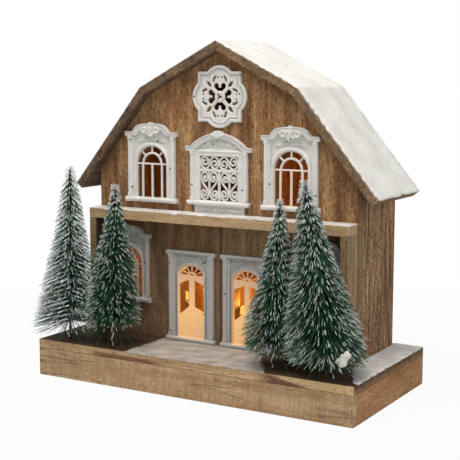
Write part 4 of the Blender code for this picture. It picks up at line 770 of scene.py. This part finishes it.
def window_height(x, z):
    """How far each point of a window stands out."""
    opening = window_open(x, z)
    bars = 0.8 + 0.7 * dome(window_bars(x, z), 1.1)
    ground = 0.7 + 1.8 * half_round(nearest(x, z, garland), 0.9)
    rim = np.clip(-opening, 0, 9)
    ring = 1.6 + 1.6 * half_round(rim - 2.3, 2.1)
    face = np.where(rim < 0.6, bars + (ring - bars) * rim / 0.6,
                    np.where(rim < 4.4, ring, ground))
    face = np.where(opening > 0, bars, face)
    sill = (2.6 + 2.6 * half_round(z - 2.5, 2.6)) * step(
        np.minimum(4.5 - z, window_half + 0.1 - abs(x)), 0.25)
    face = np.maximum.reduce([
        face, pilaster(x, z, 21.4, window_side, window_sill, 63.0), sill,
        moulded_band(across(x, z, window_crown), band_half(x, window_arch),
                     window_half + 0.2 - abs(x))])
    shield = np.hypot(x / 10.2, (z - 70.4) / 4.9)
    face = np.where(shield < 1, 4.2 + 0.4 * dome(1 - shield, 0.3), face)
    carved = np.minimum(nearest(x, z, scrolls) / 1.05, nearest(x, z, petals + drop) / 0.9)
    carved = 4.6 + 1.1 * half_round(carved, 1) - 7 * (carved > 1)
    knob = 5.8 * (np.hypot(x, z - window_knob) < 1.7)
    return np.maximum.reduce([face, carved, knob])


def glazing(x, z):
    """How much painted glow the thin bars over the panes carry: a little."""
    return 0.5 * step(window_open(x, z) + 0.3, 0.6)


# The frames are narrower than drawn, and the lower ones end at the porch panels' inner faces.
panel_face = 132.9
for name, middle, squeeze in (("window_upper_left", -77.7, 0.13),
                              ("window_upper_right", 75.6, 0.13),
                              ("window_lower_left", -108.2, 0.3),
                              ("window_lower_right", 107.0, 0.3)):
    def fitted(x, squeeze=squeeze):
        """Where a point lies on the drawn pattern, which is squeezed outside the opening."""
        return np.sign(x) * (abs(x) + squeeze * np.maximum(abs(x) - 17.4, 0))

    def trimmed(x, z, fitted=fitted, reach=min(window_half, panel_face - abs(middle)),
                outward=math.copysign(1, middle)):
        """The plan, cut off square where a lower window meets the porch panel."""
        return np.minimum(window_solid(fitted(x), z), reach - outward * x)

    def standing(x, z, fitted=fitted):
        """The height, on the pattern's own width."""
        return window_height(fitted(x), z)

    relief(name, 32, 0, 80, trimmed, standing, middle, thin=glazing)


# Doors: a thin pair of leaves with two sloping panes under a fanlight. The leaves are the
# thinnest part of the moulding, and they carry a painted glow of the lamp behind them.

# Half the widths of the casting and the doorway, the springing and rise of the doorway's head,
# and the heights of the tread's top and the lintel's foot.
door_side = 25.75
door_half = 14.3
door_spring = 65.2
door_rise = 10.6
door_tread = 4.2
door_lintel = 85.6


def door_open(x, z):
    """Inside the doorway: 28.6 mm wide, with a low elliptical head over its springing."""
    over = np.hypot(x / door_half, (z - door_spring) / door_rise)
    arch = np.where(z > door_spring, (1 - over) * 11.4, door_half - abs(x))
    return np.minimum(arch, z - door_tread)


def door_panes(x, z):
    """Inside a pane: two with sloping heads and feet, six fan wedges and a half moon."""
    side = abs(x)
    sloped_head = (61.3 - (side - 3.0) * 4.8 / 11.2 - z) / 1.08
    sloped_foot = (z - 35.0 + (side - 3.0) * 9.0 / 11.2) / 1.27
    panes = np.minimum.reduce([side - 3.0, 14.2 - side, sloped_head, sloped_foot])
    aside, above = x / door_half, (z - door_spring) / door_rise
    radius = np.hypot(aside, above)
    angle = np.degrees(np.arctan2(above, aside))
    turn = (angle - 4) % 29.4
    wedge = np.radians(11.25 - abs(turn - 11.25)) * radius * 12
    fan = np.minimum.reduce([wedge, (0.90 - radius) * 12, (radius - 0.36) * 12,
                             angle - 3, 177 - angle])
    moon = np.minimum((0.2 - radius) * 12, z - 65.6)
    return np.maximum.reduce([panes, fan, moon])


def door_solid(x, z):
    """Plan of a door casting, less its panes."""
    plan = np.maximum.reduce([block(x, z, 0, door_side, 88), block(x, z, door_lintel, 28.1, 4.0),
                              block(x, z, 0, 28.1, door_tread)])
    return np.minimum(plan, -np.minimum(door_panes(x, z), door_open(x, z) - 0.1))


spandrel = mirrored([curl(6.2, 82.6, 200, -120, 1.7, 0.5), curl(11.6, 81.0, -30, 300, 1.9, 0.5),
                     [(0, 81.6), (2.4, 83.6), (4.4, 84.0)], [(0, 83.2), (0, 80.6)],
                     [(8.0, 80.6), (12.5, 78.2), (16.6, 75.6)], [(13.6, 82.2), (17.2, 82.8)],
                     [(15.0, 79.4), (18.0, 79.2)]])


def door_height(x, z):
    """How far each point of a door stands out."""
    opening = door_open(x, z)
    planks = sum(np.exp(-((x - middle) / 0.3) ** 2) for middle in (-9.6, -4.8, 4.8, 9.6))
    leaf = 1.3 - 0.25 * planks * (z < 24) + 0.5 * step(0.55 - abs(x), 0.2) * (z < 36)
    leaf = leaf + 0.25 * dome(-door_panes(x, z), 0.8)
    rim = np.clip(-opening, 0, 9)
    ring = 1.9 + 1.3 * half_round(rim - 1.3, 1.2)
    ground = 0.7 + 1.2 * half_round(nearest(x, z, spandrel), 0.85)
    face = np.where(rim < 0.4, leaf + (ring - leaf) * rim / 0.4,
                    np.where(rim < 2.5, ring, ground))
    face = np.where(opening > 0, leaf, face)
    lintel = (3.4 + 1.4 * step(z - 87.0, 0.3)) * step(
        np.minimum(z - door_lintel, 28.2 - abs(x)), 0.25)
    tread = (3.0 + 2.4 * half_round(z - 2.2, 2.5)) * step(
        np.minimum(door_tread - z, 28.2 - abs(x)), 0.25)
    return np.maximum.reduce([face, pilaster(x, z, 18.0, door_side, door_tread, door_lintel),
                              lintel, tread])


def leaf_share(x, z):
    """1 on the thin leaves, fading to 0 across the edge of the doorway."""
    return step(door_open(x, z) + 0.6, 0.9)


for name, middle in (("door_left", -32.3), ("door_right", 29.8)):
    relief(name, 28.5, 0, 89.7, door_solid, door_height, middle, thin=leaf_share)


# Grille: a pierced panel of scrolls under an arched pediment with a leaf on top, on an apron
# that rests on the shelf. Each scroll is one half-round bar that closes into an eye.

def grille_bars():
    """Lines of all the scrolls: a running wave with four eyes above, two pairs of hearts below.

    Half of each shape is drawn through its points, from the crossing to the eye. The wave's
    other half is the same one turned round, and the heart's other half is its mirror image.
    """
    half_wave = through([(0, 0), (-0.5, -1.7), (-1.4, -3.5), (-3.0, -5.1), (-5.0, -5.6),
                         (-7.2, -4.8), (-8.8, -2.8), (-9.4, -0.2), (-9.0, 2.5), (-7.6, 4.7),
                         (-5.6, 5.5), (-3.4, 4.9), (-2.0, 3.0), (-1.9, 0.8), (-3.0, -1.1),
                         (-4.9, -1.8), (-6.6, -0.9), (-7.2, 0.9), (-6.4, 2.3), (-5.0, 2.2)])
    half_heart = through([(-4.4, 33.3), (-3.5, 33.9), (-3.7, 35.0), (-4.9, 35.2), (-5.9, 34.2),
                          (-6.0, 32.4), (-5.2, 31.0), (-3.8, 30.5), (-2.3, 31.4), (-1.4, 33.5),
                          (-1.6, 36.1), (-3.0, 38.4), (-5.0, 39.1), (-7.1, 38.1), (-8.5, 35.7),
                          (-8.6, 32.8), (-7.8, 30.1), (-6.2, 27.6), (-4.2, 25.2), (-2.4, 22.8),
                          (-1.3, 20.2), (-1.1, 17.6), (-1.9, 15.3), (-3.4, 13.8), (-5.1, 13.3),
                          (-7.0, 14.0), (-8.5, 15.9), (-8.8, 18.3), (-8.0, 20.5), (-6.4, 21.5),
                          (-4.7, 21.1), (-3.6, 19.6), (-3.6, 17.8), (-4.6, 16.5), (-6.0, 16.4),
                          (-6.9, 17.4), (-6.7, 18.7)], 4)
    heart = mirrored([half_heart]) + [np.array([(0, 17.5), (0, 40.0)])]
    return (mirrored([half_wave + (-10.1, 48.2), -half_wave + (-10.1, 48.2)])
            + [line + (middle, 0) for middle in (-10.75, 10.75) for line in heart])


# Half the widths of the grille's head, its body and the head's arch, and the apron's height.
grille_half = 36.0
grille_body = 31.2
grille_arch = 29.0
apron_top = 7.5
grille_crown = crown_line(grille_half, [(0, 73.6), (6, 73.1), (12, 71.6), (18, 69.0), (23, 65.9),
                                        (26.5, 63.3), (28.6, 61.9), (31, 61.4)])
scroll_lines = grille_bars()
carved_lines = mirrored([
    curl(4.6, 66.2, 190, -160, 2.1, 0.6), curl(11.4, 65.3, -20, 320, 2.0, 0.6),
    curl(17.4, 63.9, 200, -140, 1.4, 0.5), [(0, 64.0), (0, 70.0)], [(0, 66.0), (2.0, 69.0)],
    [(7.0, 64.0), (10.0, 68.2), (13.0, 68.0)],
    curl(4.2, 3.6, 190, -160, 1.9, 0.5), curl(11.6, 3.8, -20, 320, 1.9, 0.5),
    curl(18.8, 3.6, 190, -160, 1.8, 0.5), [(0, 1.6), (0, 5.8)], [(6.6, 2.4), (8.8, 5.6)],
    [(14.2, 5.4), (16.4, 2.6)], [(21.0, 3.0), (24.4, 5.2)]])
leaf_ribs = [[(0, 72.6), (6.8 * math.cos(a), 72.6 + 5.0 * math.sin(a))]
             for a in np.radians((90, 60, 120, 30, 150))]


def grille_open(x, z):
    """Inside the panel that carries the scrolls."""
    return block(x, z, 12.4, 20.8, 42.0)


def grille_work(x, z):
    """Inside a scroll bar, the rail or the middle upright of the panel."""
    below_rail = 41.0 - z
    upright = np.minimum(1.35 - abs(x), below_rail)
    return np.maximum.reduce([0.92 - nearest(x / 1.03, z, scroll_lines), 1.4 - abs(below_rail),
                              upright])


def grille_solid(x, z):
    """Plan of the grille casting, less the spaces between its scrolls."""
    above = across(x, z, grille_crown)
    body = np.minimum.reduce([grille_body - abs(x), z - apron_top, -above])
    crown = np.minimum(band_half(x, grille_arch) - abs(above), grille_half - abs(x))
    sill = np.minimum(block(x, z, apron_top, 34.4, 4.4),
                      32.4 + (z - apron_top) * 0.6 - abs(x))
    leaf = 1.35 - nearest(x, z, leaf_ribs)
    plan = np.maximum.reduce([body, crown, sill, leaf, block(x, z, 0, 27.4, 8.0)])
    return np.minimum(plan, -np.minimum(grille_open(x, z), -grille_work(x, z)))


def grille_height(x, z):
    """How far each point of the grille stands out."""
    opening = grille_open(x, z)
    rim = np.clip(-opening, 0, 20)
    lining = np.where(rim < 3.4, 2.1 + 0.4 * dome(rim, 0.9), 0)
    ground = 0.8 + 1.6 * half_round(nearest(x, z, carved_lines), 0.9) * (rim > 1)
    face = np.where(opening > 0, 1.0 + 0.8 * dome(grille_work(x, z), 0.8),
                    np.maximum(lining, ground))
    lower_bead = 3.1 * half_round(z - 59.0, 2.0) * (abs(x) < 31)
    sill = (2.6 + 2.8 * half_round(z - 9.8, 2.6)) * step(2.1 - abs(z - 9.7), 0.25)
    face = np.maximum.reduce([
        face, pilaster(x, z, 24.3, grille_body, 11.9, 58.4) * step(z - 11.0), lower_bead, sill,
        moulded_band(across(x, z, grille_crown), band_half(x, grille_arch), 36.2 - abs(x))])
    apron_edge = block(x, z, -3, 27.4, 10.6)
    face = np.where(z < 7.6, ground + 0.6 * step(1.2 - apron_edge, 0.4), face)
    rib = nearest(x, z, leaf_ribs)
    return np.maximum(face, 5.2 + 1.0 * half_round(rib, 1.35) - 7 * (rib > 1.5))


relief("grille", 36.4, 0, 82, grille_solid, grille_height, -1.0, pitch=0.34)


# Rosette: a square with a round lobe on each side, with a rolled rim, a groove and a pierced
# flower of four fleurs, four darts and a ring of small leaf cuts.

def quarters(x, z, shape):
    """The greatest of a shape's four copies, each a quarter turn round the middle."""
    return np.maximum.reduce([shape(x, z), shape(z, -x), shape(-x, -z), shape(-z, x)])


def rosette_plan(x, z):
    """Inside the outline: the square or the nearest lobe."""
    square = 23.35 - np.maximum(abs(x), abs(z))
    return np.maximum(square, quarters(x, z, lambda u, v: 16.6 - np.hypot(u, v - 12.6)))


def rosette_cuts(x, z):
    """Inside one of the cuts that belong to the upper lobe or its right-hand corner."""
    side = abs(x)
    lobe = 2.85 - np.hypot(side - 3.75, z - 9.9)
    neck = np.minimum.reduce([8.4 - z, 5.3 - np.hypot(x, z - 9.9), np.hypot(x, z) - 5.5])
    along, aside = (x + z) * 0.7071, abs(x - z) * 0.7071
    dart = 1.8 * (1 - ((along - 16.6) / 3.9) ** 2) - aside
    leaf = 1.2 - nearest(side, z, [[(6.8, 14.8), (6.4, 16.6), (5.0, 18.4)]])
    crumb = 1.0 - np.hypot(side - 2.2, (z - 18.0) * 1.2)
    return np.maximum.reduce([lobe, neck, dart, leaf, crumb])


def rosette_solid(x, z):
    """Plan of the rosette, less its cuts and the three-pointed hole in the boss."""
    star = 2.1 + 1.2 * np.cos(3 * np.arctan2(z, x)) - np.hypot(x, z)
    return np.minimum(rosette_plan(x, z), -np.maximum(quarters(x, z, rosette_cuts), star))


def rosette_height(x, z):
    """How far each point of the rosette stands out."""
    inside = rosette_plan(x, z)
    radius = np.hypot(x, z)
    roll = 0.8 + 2.4 * step(2.5 - inside, 0.3) - 0.5 * step(0.7 - inside, 0.7)
    bead = (0.8 + 1.5 * half_round(inside - 4.9, 0.7)) * (inside < 5.5)
    field = 1.9 * step(inside - 5.0, 0.4)
    boss = (2.5 + 0.5 * half_round(radius - 3.7, 1.1)) * (radius < 4.8)
    round_cuts = dome(-quarters(x, z, rosette_cuts), 0.7)
    return (np.maximum.reduce([roll, bead, field, boss])
            - 0.35 * (1 - round_cuts) * (inside > 5))


low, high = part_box("rosette")
relief("rosette", 29.4, -29.4, 29.4, rosette_solid, rosette_height,
       level=(low.z + high.z) / 2, pitch=0.34)


# Pins and brads: thin steel pins hold the castings, and small brads the plinth's front board.
# Their low round heads have gone dark.

dark_steel, tree, place = blank("steel pin, gone dark")
tarnish = add(tree, "TexNoise", {"Vector": place, "Scale": 1000 / 0.8})
tone = add(tree, "ValToRGB", {0: tarnish}, [(0.35, "#23282d"), (0.65, "#4a5157")])
add(tree, "OutputMaterial", {0: add(tree, "BsdfPrincipled", {
    "Base Color": tone, "Roughness": 0.6, "Metallic": 0.2})})


def hoops(grid):
    """Four-sided faces between each ring of points and the next."""
    after = np.roll(grid, -1, 1)
    return np.stack([grid[:-1], after[:-1], after[1:], grid[1:]], -1).reshape(-1, 4)


def cap(ring, pole):
    """Triangles from a ring of points to its pole."""
    return np.stack([ring, np.roll(ring, -1), 0 * ring + pole], -1)


def heads(name, spots, size):
    """Low round heads that face forward, one at each spot: four rings and two poles."""
    turn = np.arange(9) * math.tau / 9
    rings = [(size, 0.3), (size, -0.1), (size * 0.75, -0.32), (size * 0.4, -0.42)]
    one = np.concatenate([np.stack([r * np.cos(turn), 0 * turn + d, r * np.sin(turn)], 1)
                          for r, d in rings] + [[(0, -0.45, 0), (0, 0.3, 0)]])
    grid = np.arange(4 * 9).reshape(4, 9)
    quads = hoops(grid)
    faces = np.concatenate([quads[:, :3], quads[:, [0, 2, 3]], cap(grid[-1], grid.size),
                            cap(grid[0], grid.size + 1)[:, ::-1]])
    faces = (np.arange(len(spots))[:, None, None] * len(one) + faces).reshape(-1, 3)
    points = (np.array(spots)[:, None] + one[None]).reshape(-1, 3) * MM
    piece(name, points, faces, dark_steel)


pins = []
for name, spots in (("window_upper_left", ((-23.9, 61), (7.8, 60), (23.4, 34), (-22.8, 14))),
                    ("window_upper_right", ((1.2, 66), (-21.8, 24), (26.1, 16))),
                    ("window_lower_left", ((22.4, 40),)),
                    ("grille", ((-6.4, 66), (-28.7, 27), (26, 24))),
                    ("rosette", ((-27.5, 0), (21.7, 3), (23, 20))),
                    ("door_left", ((-23.5, 76), (13.2, 79.5), (16.3, 80), (-22.5, 9))),
                    ("door_right", ((-22.8, 52),))):
    height, middle, level = moulded[name]
    for x, z in spots:
        u, v = np.meshgrid((x - 0.6, x, x + 0.6), (z - 0.6, z, z + 0.6))
        pins.append((middle + x, back_plane / MM - height(u, v).max(), level / MM + z))
heads("casting_pins", pins, 0.9)
heads("plinth_brads", [(x, -70.6, z) for x in (-168.4, 168.4) for z in (14.3, 5.0)], 0.8)


# Trees: four bottle brushes. A twisted pair of wires holds thousands of green nylon bristles,
# trimmed to a cone; they droop more towards the top, and white flock clings to their outer ends.

# Nylon bristle: a smooth dyed green, a little brighter in patches, with painted shade that takes
# it to almost black deep inside the tree, under dry white flock that is broken into fine specks.
nylon, tree, place = blank("green nylon bristle, frosted")
frosted, depth = (add(tree, "Attribute", out="Fac", attribute_name=label)
                  for label in ("frost", "depth"))
mottle, dye = (
    add(tree, "TexNoise", {"Vector": place, "Scale": 1000 / size, "Detail": detail,
                           "Roughness": rough})
    for size, detail, rough in ((1.6, 2, 0.7), (18, 1, 0.5)))
tone = add(tree, "ValToRGB", {0: depth}, [(0.0, "#080d09"), (0.45, "#15301f"), (1.0, "#2a5b41")])
brighter = add(tree, "MapRange", {"Value": dye, "From Min": 0.42, "From Max": 0.66,
                                  "To Max": 0.75})
brighter = add(tree, "Math", {0: brighter, 1: depth}, operation="MULTIPLY")
specks = add(tree, "Math", {0: mottle, 1: 0.6, 2: frosted}, operation="MULTIPLY_ADD")
specks = add(tree, "MapRange", {"Value": specks, "From Min": 0.8, "From Max": 1.1})
for share, over in ((brighter, "#3f7a58"), (specks, "#e3e9e7")):
    tone = add(tree, "Mix", {"Factor": share, "A": tone, "B": over}, data_type="RGBA")
gloss = add(tree, "MapRange", {"Value": specks, "To Min": 0.38, "To Max": 0.9})
add(tree, "OutputMaterial", {0: add(tree, "BsdfPrincipled", {
    "Base Color": tone, "Roughness": gloss, "IOR": 1.5})})

bristle_radius = 0.15
rearmost = -23.9     # no bristle reaches back past the front edge of the porch shelf


def brush(foot, rise, tall, lean, profile, droops, row, count, frost, fleck, seed):
    """All bristles of one tree as three-sided rods, each with a flocked tip that bends down.

    The twisted wire grips the bristles in two opposite rows that climb it as a double helix,
    loosely enough that the rows blur; near the top they point every way. A bristle leaves the
    wire at its droop, which grows evenly up the tree, until the last few point upwards, and
    ends on the trimmed profile: its reach is the profile's radius at the height of its own
    tip, found by halving steps. A few of the lowest hang to the plinth. Frost and depth are
    for the material.
    """
    pick = np.random.default_rng(seed)
    # How far up each bristle starts; they thin out a little towards the top.
    share = (np.arange(count) + pick.uniform(-0.5, 0.5, count)) / count
    share = 1 - (1 - np.clip(share, 0, 1) * 0.9985) ** 0.8
    height = rise + (tall - 2.5 - rise) * share
    # Its way round the wire, and how far below level it points.
    turn = (height / (2 * row) + 0.5 * (np.arange(count) % 2)) * math.tau
    turn = turn + pick.normal(0, 0.36, count)
    turn = np.where(share > 0.93, pick.uniform(0, math.tau, count), turn)
    height = height + pick.normal(0, 0.25, count)
    degrees = droops[0] + (droops[1] - droops[0]) * share
    degrees = degrees - 90 * np.clip((share - 0.9) / 0.1, 0, 1) ** 1.6
    hanging = (share < 0.05) & (pick.random(count) < 0.09)
    degrees = np.where(hanging, pick.uniform(34, 58, count), degrees + pick.normal(0, 2.4, count))
    droop = np.radians(degrees)
    # Its length, a few strays apart, and how much of it is the flocked tip.
    reach = np.full(count, 12.0)
    for _ in range(30):
        reach = (reach + np.interp(height - reach * np.tan(droop), *zip(*profile))) / 2
    length = reach / np.cos(droop) * pick.normal(0.98, 0.05, count)
    stray = pick.random(count) < 0.02
    length = np.where(stray, length * pick.uniform(0.7, 1.08, count), length)
    length = np.where(hanging, np.minimum(length, (height - 1.5) / np.sin(droop)), length)
    white = pick.normal(fleck, 0.25 * fleck, count) * (1 + 1.2 * (1 - share) * pick.random(count))
    white = np.clip(white, 0.8, 0.45 * length)
    # Where it starts, bends and ends. None goes into the plinth.
    bend = np.radians(pick.uniform(0, 8, count)) * ~hanging
    heading = np.stack([np.cos(turn), np.sin(turn), 0 * turn], 1)
    root = np.stack([lean * height / tall, 0 * height, height], 1) + foot
    stem_step, tip_step = (
        heading * np.cos(angle)[:, None] - np.outer(np.sin(angle), (0, 0, 1))
        for angle in (droop, droop + bend))
    neck = root + stem_step * (length - white)[:, None]
    tip = neck + tip_step * white[:, None]
    for end in (neck, tip):
        end[:, 2] = np.maximum(end[:, 2], foot[2] + 0.8)
        end[:, 1] = np.minimum(end[:, 1], rearmost)

    # Four rings of three points and the tip itself; flock makes the outer two rings thicker.
    side = np.cross(heading, (0, 0, 1))
    up = np.cross(side, stem_step)
    thick = bristle_radius * pick.uniform(0.85, 1.15, count)
    chance = frost * (0.75 + 0.6 * share) * ~hanging + 0.5 * (share > 0.9)
    flocked = (pick.random(count) < chance) * 1.0
    points = []
    for centre, size in ((root, thick), (neck, thick),
                         (neck * 0.85 + tip * 0.15, thick * (1 + 0.4 * flocked)),
                         (neck * 0.15 + tip * 0.85, thick * (0.8 + 0.45 * flocked))):
        for angle in np.arange(3) * math.tau / 3:
            points.append(centre + (side * math.cos(angle) + up * math.sin(angle))
                          * size[:, None])
    points = np.stack(points + [tip], 1)
    faces = [(0, 1, 2)]
    for ring in (0, 3, 6):
        for k in range(3):
            a, b = ring + k, ring + (k + 1) % 3
            faces += [(a, b + 3, b), (a, a + 3, b + 3)]
    faces += [(9 + k, 12, 9 + (k + 1) % 3) for k in range(3)]
    faces = (np.arange(count)[:, None, None] * 13 + np.array(faces)[None]).reshape(-1, 3)
    at_top = (share > 0.94) * 1.0
    snowy = np.stack([flocked * w for w in [at_top] * 6 + [1] * 7], 1)
    # Depth is painted shade: 0 at a bristle's root by the wire, lighter outwards, and at least 0.8
    # in the open top.
    deep = np.stack([np.maximum(w, 0.8 * at_top)
                     for w in [0] * 3 + [0.8] * 3 + [0.9] * 3 + [1.0] * 4], 1)
    return points.reshape(-1, 3), faces, snowy.ravel(), deep.ravel()


def wire(foot, tall, lean, bare):
    """Two strands twisted round each other, swept from inside the plinth up to the tip; the
    first strand's foot is flocked."""
    levels = np.concatenate([[-6.0], np.arange(0, tall - 5, 1.3)])
    ring = np.arange(6) * math.tau / 6
    around = np.stack([np.cos(ring), np.sin(ring), 0 * ring], 1) * 0.7
    k = np.arange(1, 5)
    points, faces, frost = [], [], []
    for strand in (0, 1):
        twist = levels / 5.2 * math.tau / 2 + strand * math.pi
        axis = np.stack([foot[0] + lean * np.maximum(levels, 0) / tall, foot[1] + 0 * levels,
                         foot[2] + levels], 1)
        axis += 0.72 * np.stack([np.cos(twist), np.sin(twist), 0 * twist], 1)
        points.append((axis[:, None] + around[None]).reshape(-1, 3))
        frost.append(np.repeat((levels < bare) * (1.0 - strand), 6))
        grid = (np.arange(len(levels) * 6) + strand * len(levels) * 6).reshape(-1, 6)
        quads = hoops(grid)
        faces += [quads[:, :3], quads[:, [0, 2, 3]]]
        for end, second, third in ((grid[0], k + 1, k), (grid[-1], k, k + 1)):
            faces.append(np.stack([0 * k + end[0], end[second], end[third]], 1))
    return np.concatenate(points), np.concatenate(faces), np.concatenate(frost)


# Each tree: foot on the plinth, height of the lowest bristles, height, lean of the tip, trimmed
# profile as height and radius, droop at foot and top, step from row to row, bristles, share
# that is flocked, length of the flocked tip, seed, flocked foot of the wire.
for name, foot, rise, tall, lean, profile, droops, row, count, frost, fleck, seed, bare in (
        ("tree_far_left", (-143.5, -54.5), 19, 173.5, 3.4,
         ((0, 36), (13, 37.4), (32, 34.3), (50, 29.8), (83, 22.6), (113, 15.2), (132, 12.6),
          (151, 8.8), (164, 6), (171, 3.6), (175, 1.5)), (12, 42), 4.5, 3300, 0.4, 4.9, 1, 0),
        ("tree_left", (-91.9, -54.8), 27, 157, 6.2,
         ((0, 26), (13, 27), (37, 27.2), (59, 24.8), (81, 21), (102, 15), (124, 10), (138, 7.4),
          (149, 5.4), (156, 4.6), (160, 2.5)), (16, 40), 5.2, 4300, 0.3, 3.2, 2, 27),
        ("tree_right", (80.1, -48.3), 24, 153, 7.8,
         ((0, 26), (14, 27.5), (35, 29), (47, 27), (59, 23), (70, 19.5), (98, 15), (117, 10),
          (129, 7.6), (142, 5.4), (150, 3.4), (155, 1.5)), (20, 42), 5.2, 4500, 0.32, 3.6, 3, 24),
        ("tree_far_right", (142.7, -53.7), 24, 171, -29.4,
         ((0, 30), (9, 32.5), (20, 36), (43, 35), (54, 32.6), (65, 28.6), (88, 22.6), (111, 17.4),
          (133, 12.4), (156, 7.6), (166, 5.4), (173, 3), (176, 1.5)), (20, 40), 5.2, 5600, 0.35,
         4.2, 4, 24)):
    foot = np.array((*foot, plinth_top))
    points, faces, snowy, deep = brush(foot, rise, tall, lean, profile, droops, row, count,
                                       frost, fleck, seed)
    stem_points, stem_faces, stem_frost = wire(foot, tall, lean, bare)
    # The wire takes depth 0.1, painted shade nearly as dark as the bristles' roots.
    made = piece("brush_" + name, np.concatenate([points, stem_points]) * MM,
                 np.concatenate([faces, stem_faces + len(points)]), nylon,
                 {"frost": np.concatenate([snowy, stem_frost]),
                  "depth": np.concatenate([deep, 0 * stem_frost + 0.1])})
    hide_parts(name)

# A lump of the flock has caught on the lowest bristles of the tree at the right: an uneven ball
# of 20 rings and two poles, slanted by its three axes.
u, v = np.meshgrid(np.linspace(0, math.pi, 22)[1:-1], np.arange(32) * math.tau / 32,
                   indexing="ij")
ball = np.stack([np.sin(u) * np.cos(v), np.sin(u) * np.sin(v), np.cos(u)], -1)
uneven = 1 + 0.26 * ripple(ball[..., 0], ball[..., 2] + ball[..., 1], 1.0, 141)
ball = np.concatenate([(ball * uneven[..., None]).reshape(-1, 3), [(0, 0, 1), (0, 0, -1)]])
slanted = np.array([(3.2, 1.9, 5.4), (-1.0, 1.7, 0.0), (-3.0, -1.7, 1.9)])
grid = np.arange(u.size).reshape(u.shape)
piece("tree_snow_lump", (ball @ slanted + (161.7, -73.6, 59.0)) * MM,
      [*hoops(grid)[:, [0, 3, 2, 1]].tolist(), *cap(grid[0], grid.size).tolist(),
       *cap(grid[-1], grid.size + 1)[:, ::-1].tolist()], snow)


# Light: three warm lamps on one lead stand just behind the façade, and a battery box hangs under
# the plinth. Each lamp throws its light on the rough wood inside, which glows through the panes.

lamp_glass, tree, place = blank("clear lamp, lit")
heat = add(tree, "TexNoise", {"Vector": place, "Scale": 1000 / 4.0})
heat = add(tree, "ValToRGB", {0: heat}, [(0.3, "#ffb848"), (0.7, "#ffd070")])
add(tree, "OutputMaterial", {0: add(tree, "Emission", {"Color": heat, "Strength": 1.1})})
for name, spot, power in (("lamp_lower_right", (17.5, 20.0, 74.0), 0.16),
                          ("lamp_lower_left", (-49.5, 20.0, 82.0), 0.13),
                          ("lamp_upper", (40.0, 40.0, 200.0), 0.016)):
    dress(name, lamp_glass)
    beam = bpy.data.lights.new(name + "_light", "POINT")
    beam.energy = power
    beam.color = linear("#ffb050")[:3]
    beam.shadow_soft_size = 3 * MM
    put(name + "_light", beam, location=[c * MM for c in spot])


def small_part(label, tones, size, rough, metal=0.0):
    """A small moulded or metal part: a slow change of tone, and a sheen that varies with it."""
    material, tree, place = blank(label)
    noise = add(tree, "TexNoise", {"Vector": place, "Scale": 1000 / size, "Detail": 4.0,
                                   "Roughness": 0.6})
    tone = add(tree, "ValToRGB", {0: noise}, list(zip((0.3, 0.7), tones)))
    sheen = add(tree, "MapRange", {"Value": noise, "To Min": rough - 0.08, "To Max": rough + 0.1})
    skin = add(tree, "Bump", {"Height": noise, "Strength": 0.3, "Distance": 0.06 * MM})
    add(tree, "OutputMaterial", {0: add(tree, "BsdfPrincipled", {
        "Base Color": tone, "Roughness": sheen, "Normal": skin, "Metallic": metal})})
    return material


abs_white = small_part("white ABS, moulded", ("#e4e2dc", "#efeee9"), 3.0, 0.42)
plated = small_part("nickel-plated steel", ("#9c9a94", "#b9b7b0"), 2.0, 0.3, 1.0)
for name in ("battery_case", "battery_cover", "lamp_lead"):
    dress(name, abs_white)
dress("switch_knob", small_part("black nylon", ("#161616", "#242423"), 1.5, 0.5))
for name in ("cell_1", "cell_2", "cell_3"):
    dress(name, small_part("printed film jacket of " + name, ("#2c4a63", "#355a78"), 6.0, 0.35))
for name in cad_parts:
    if name.startswith(("spring", "nub", "case_screw")):
        dress(name, plated)
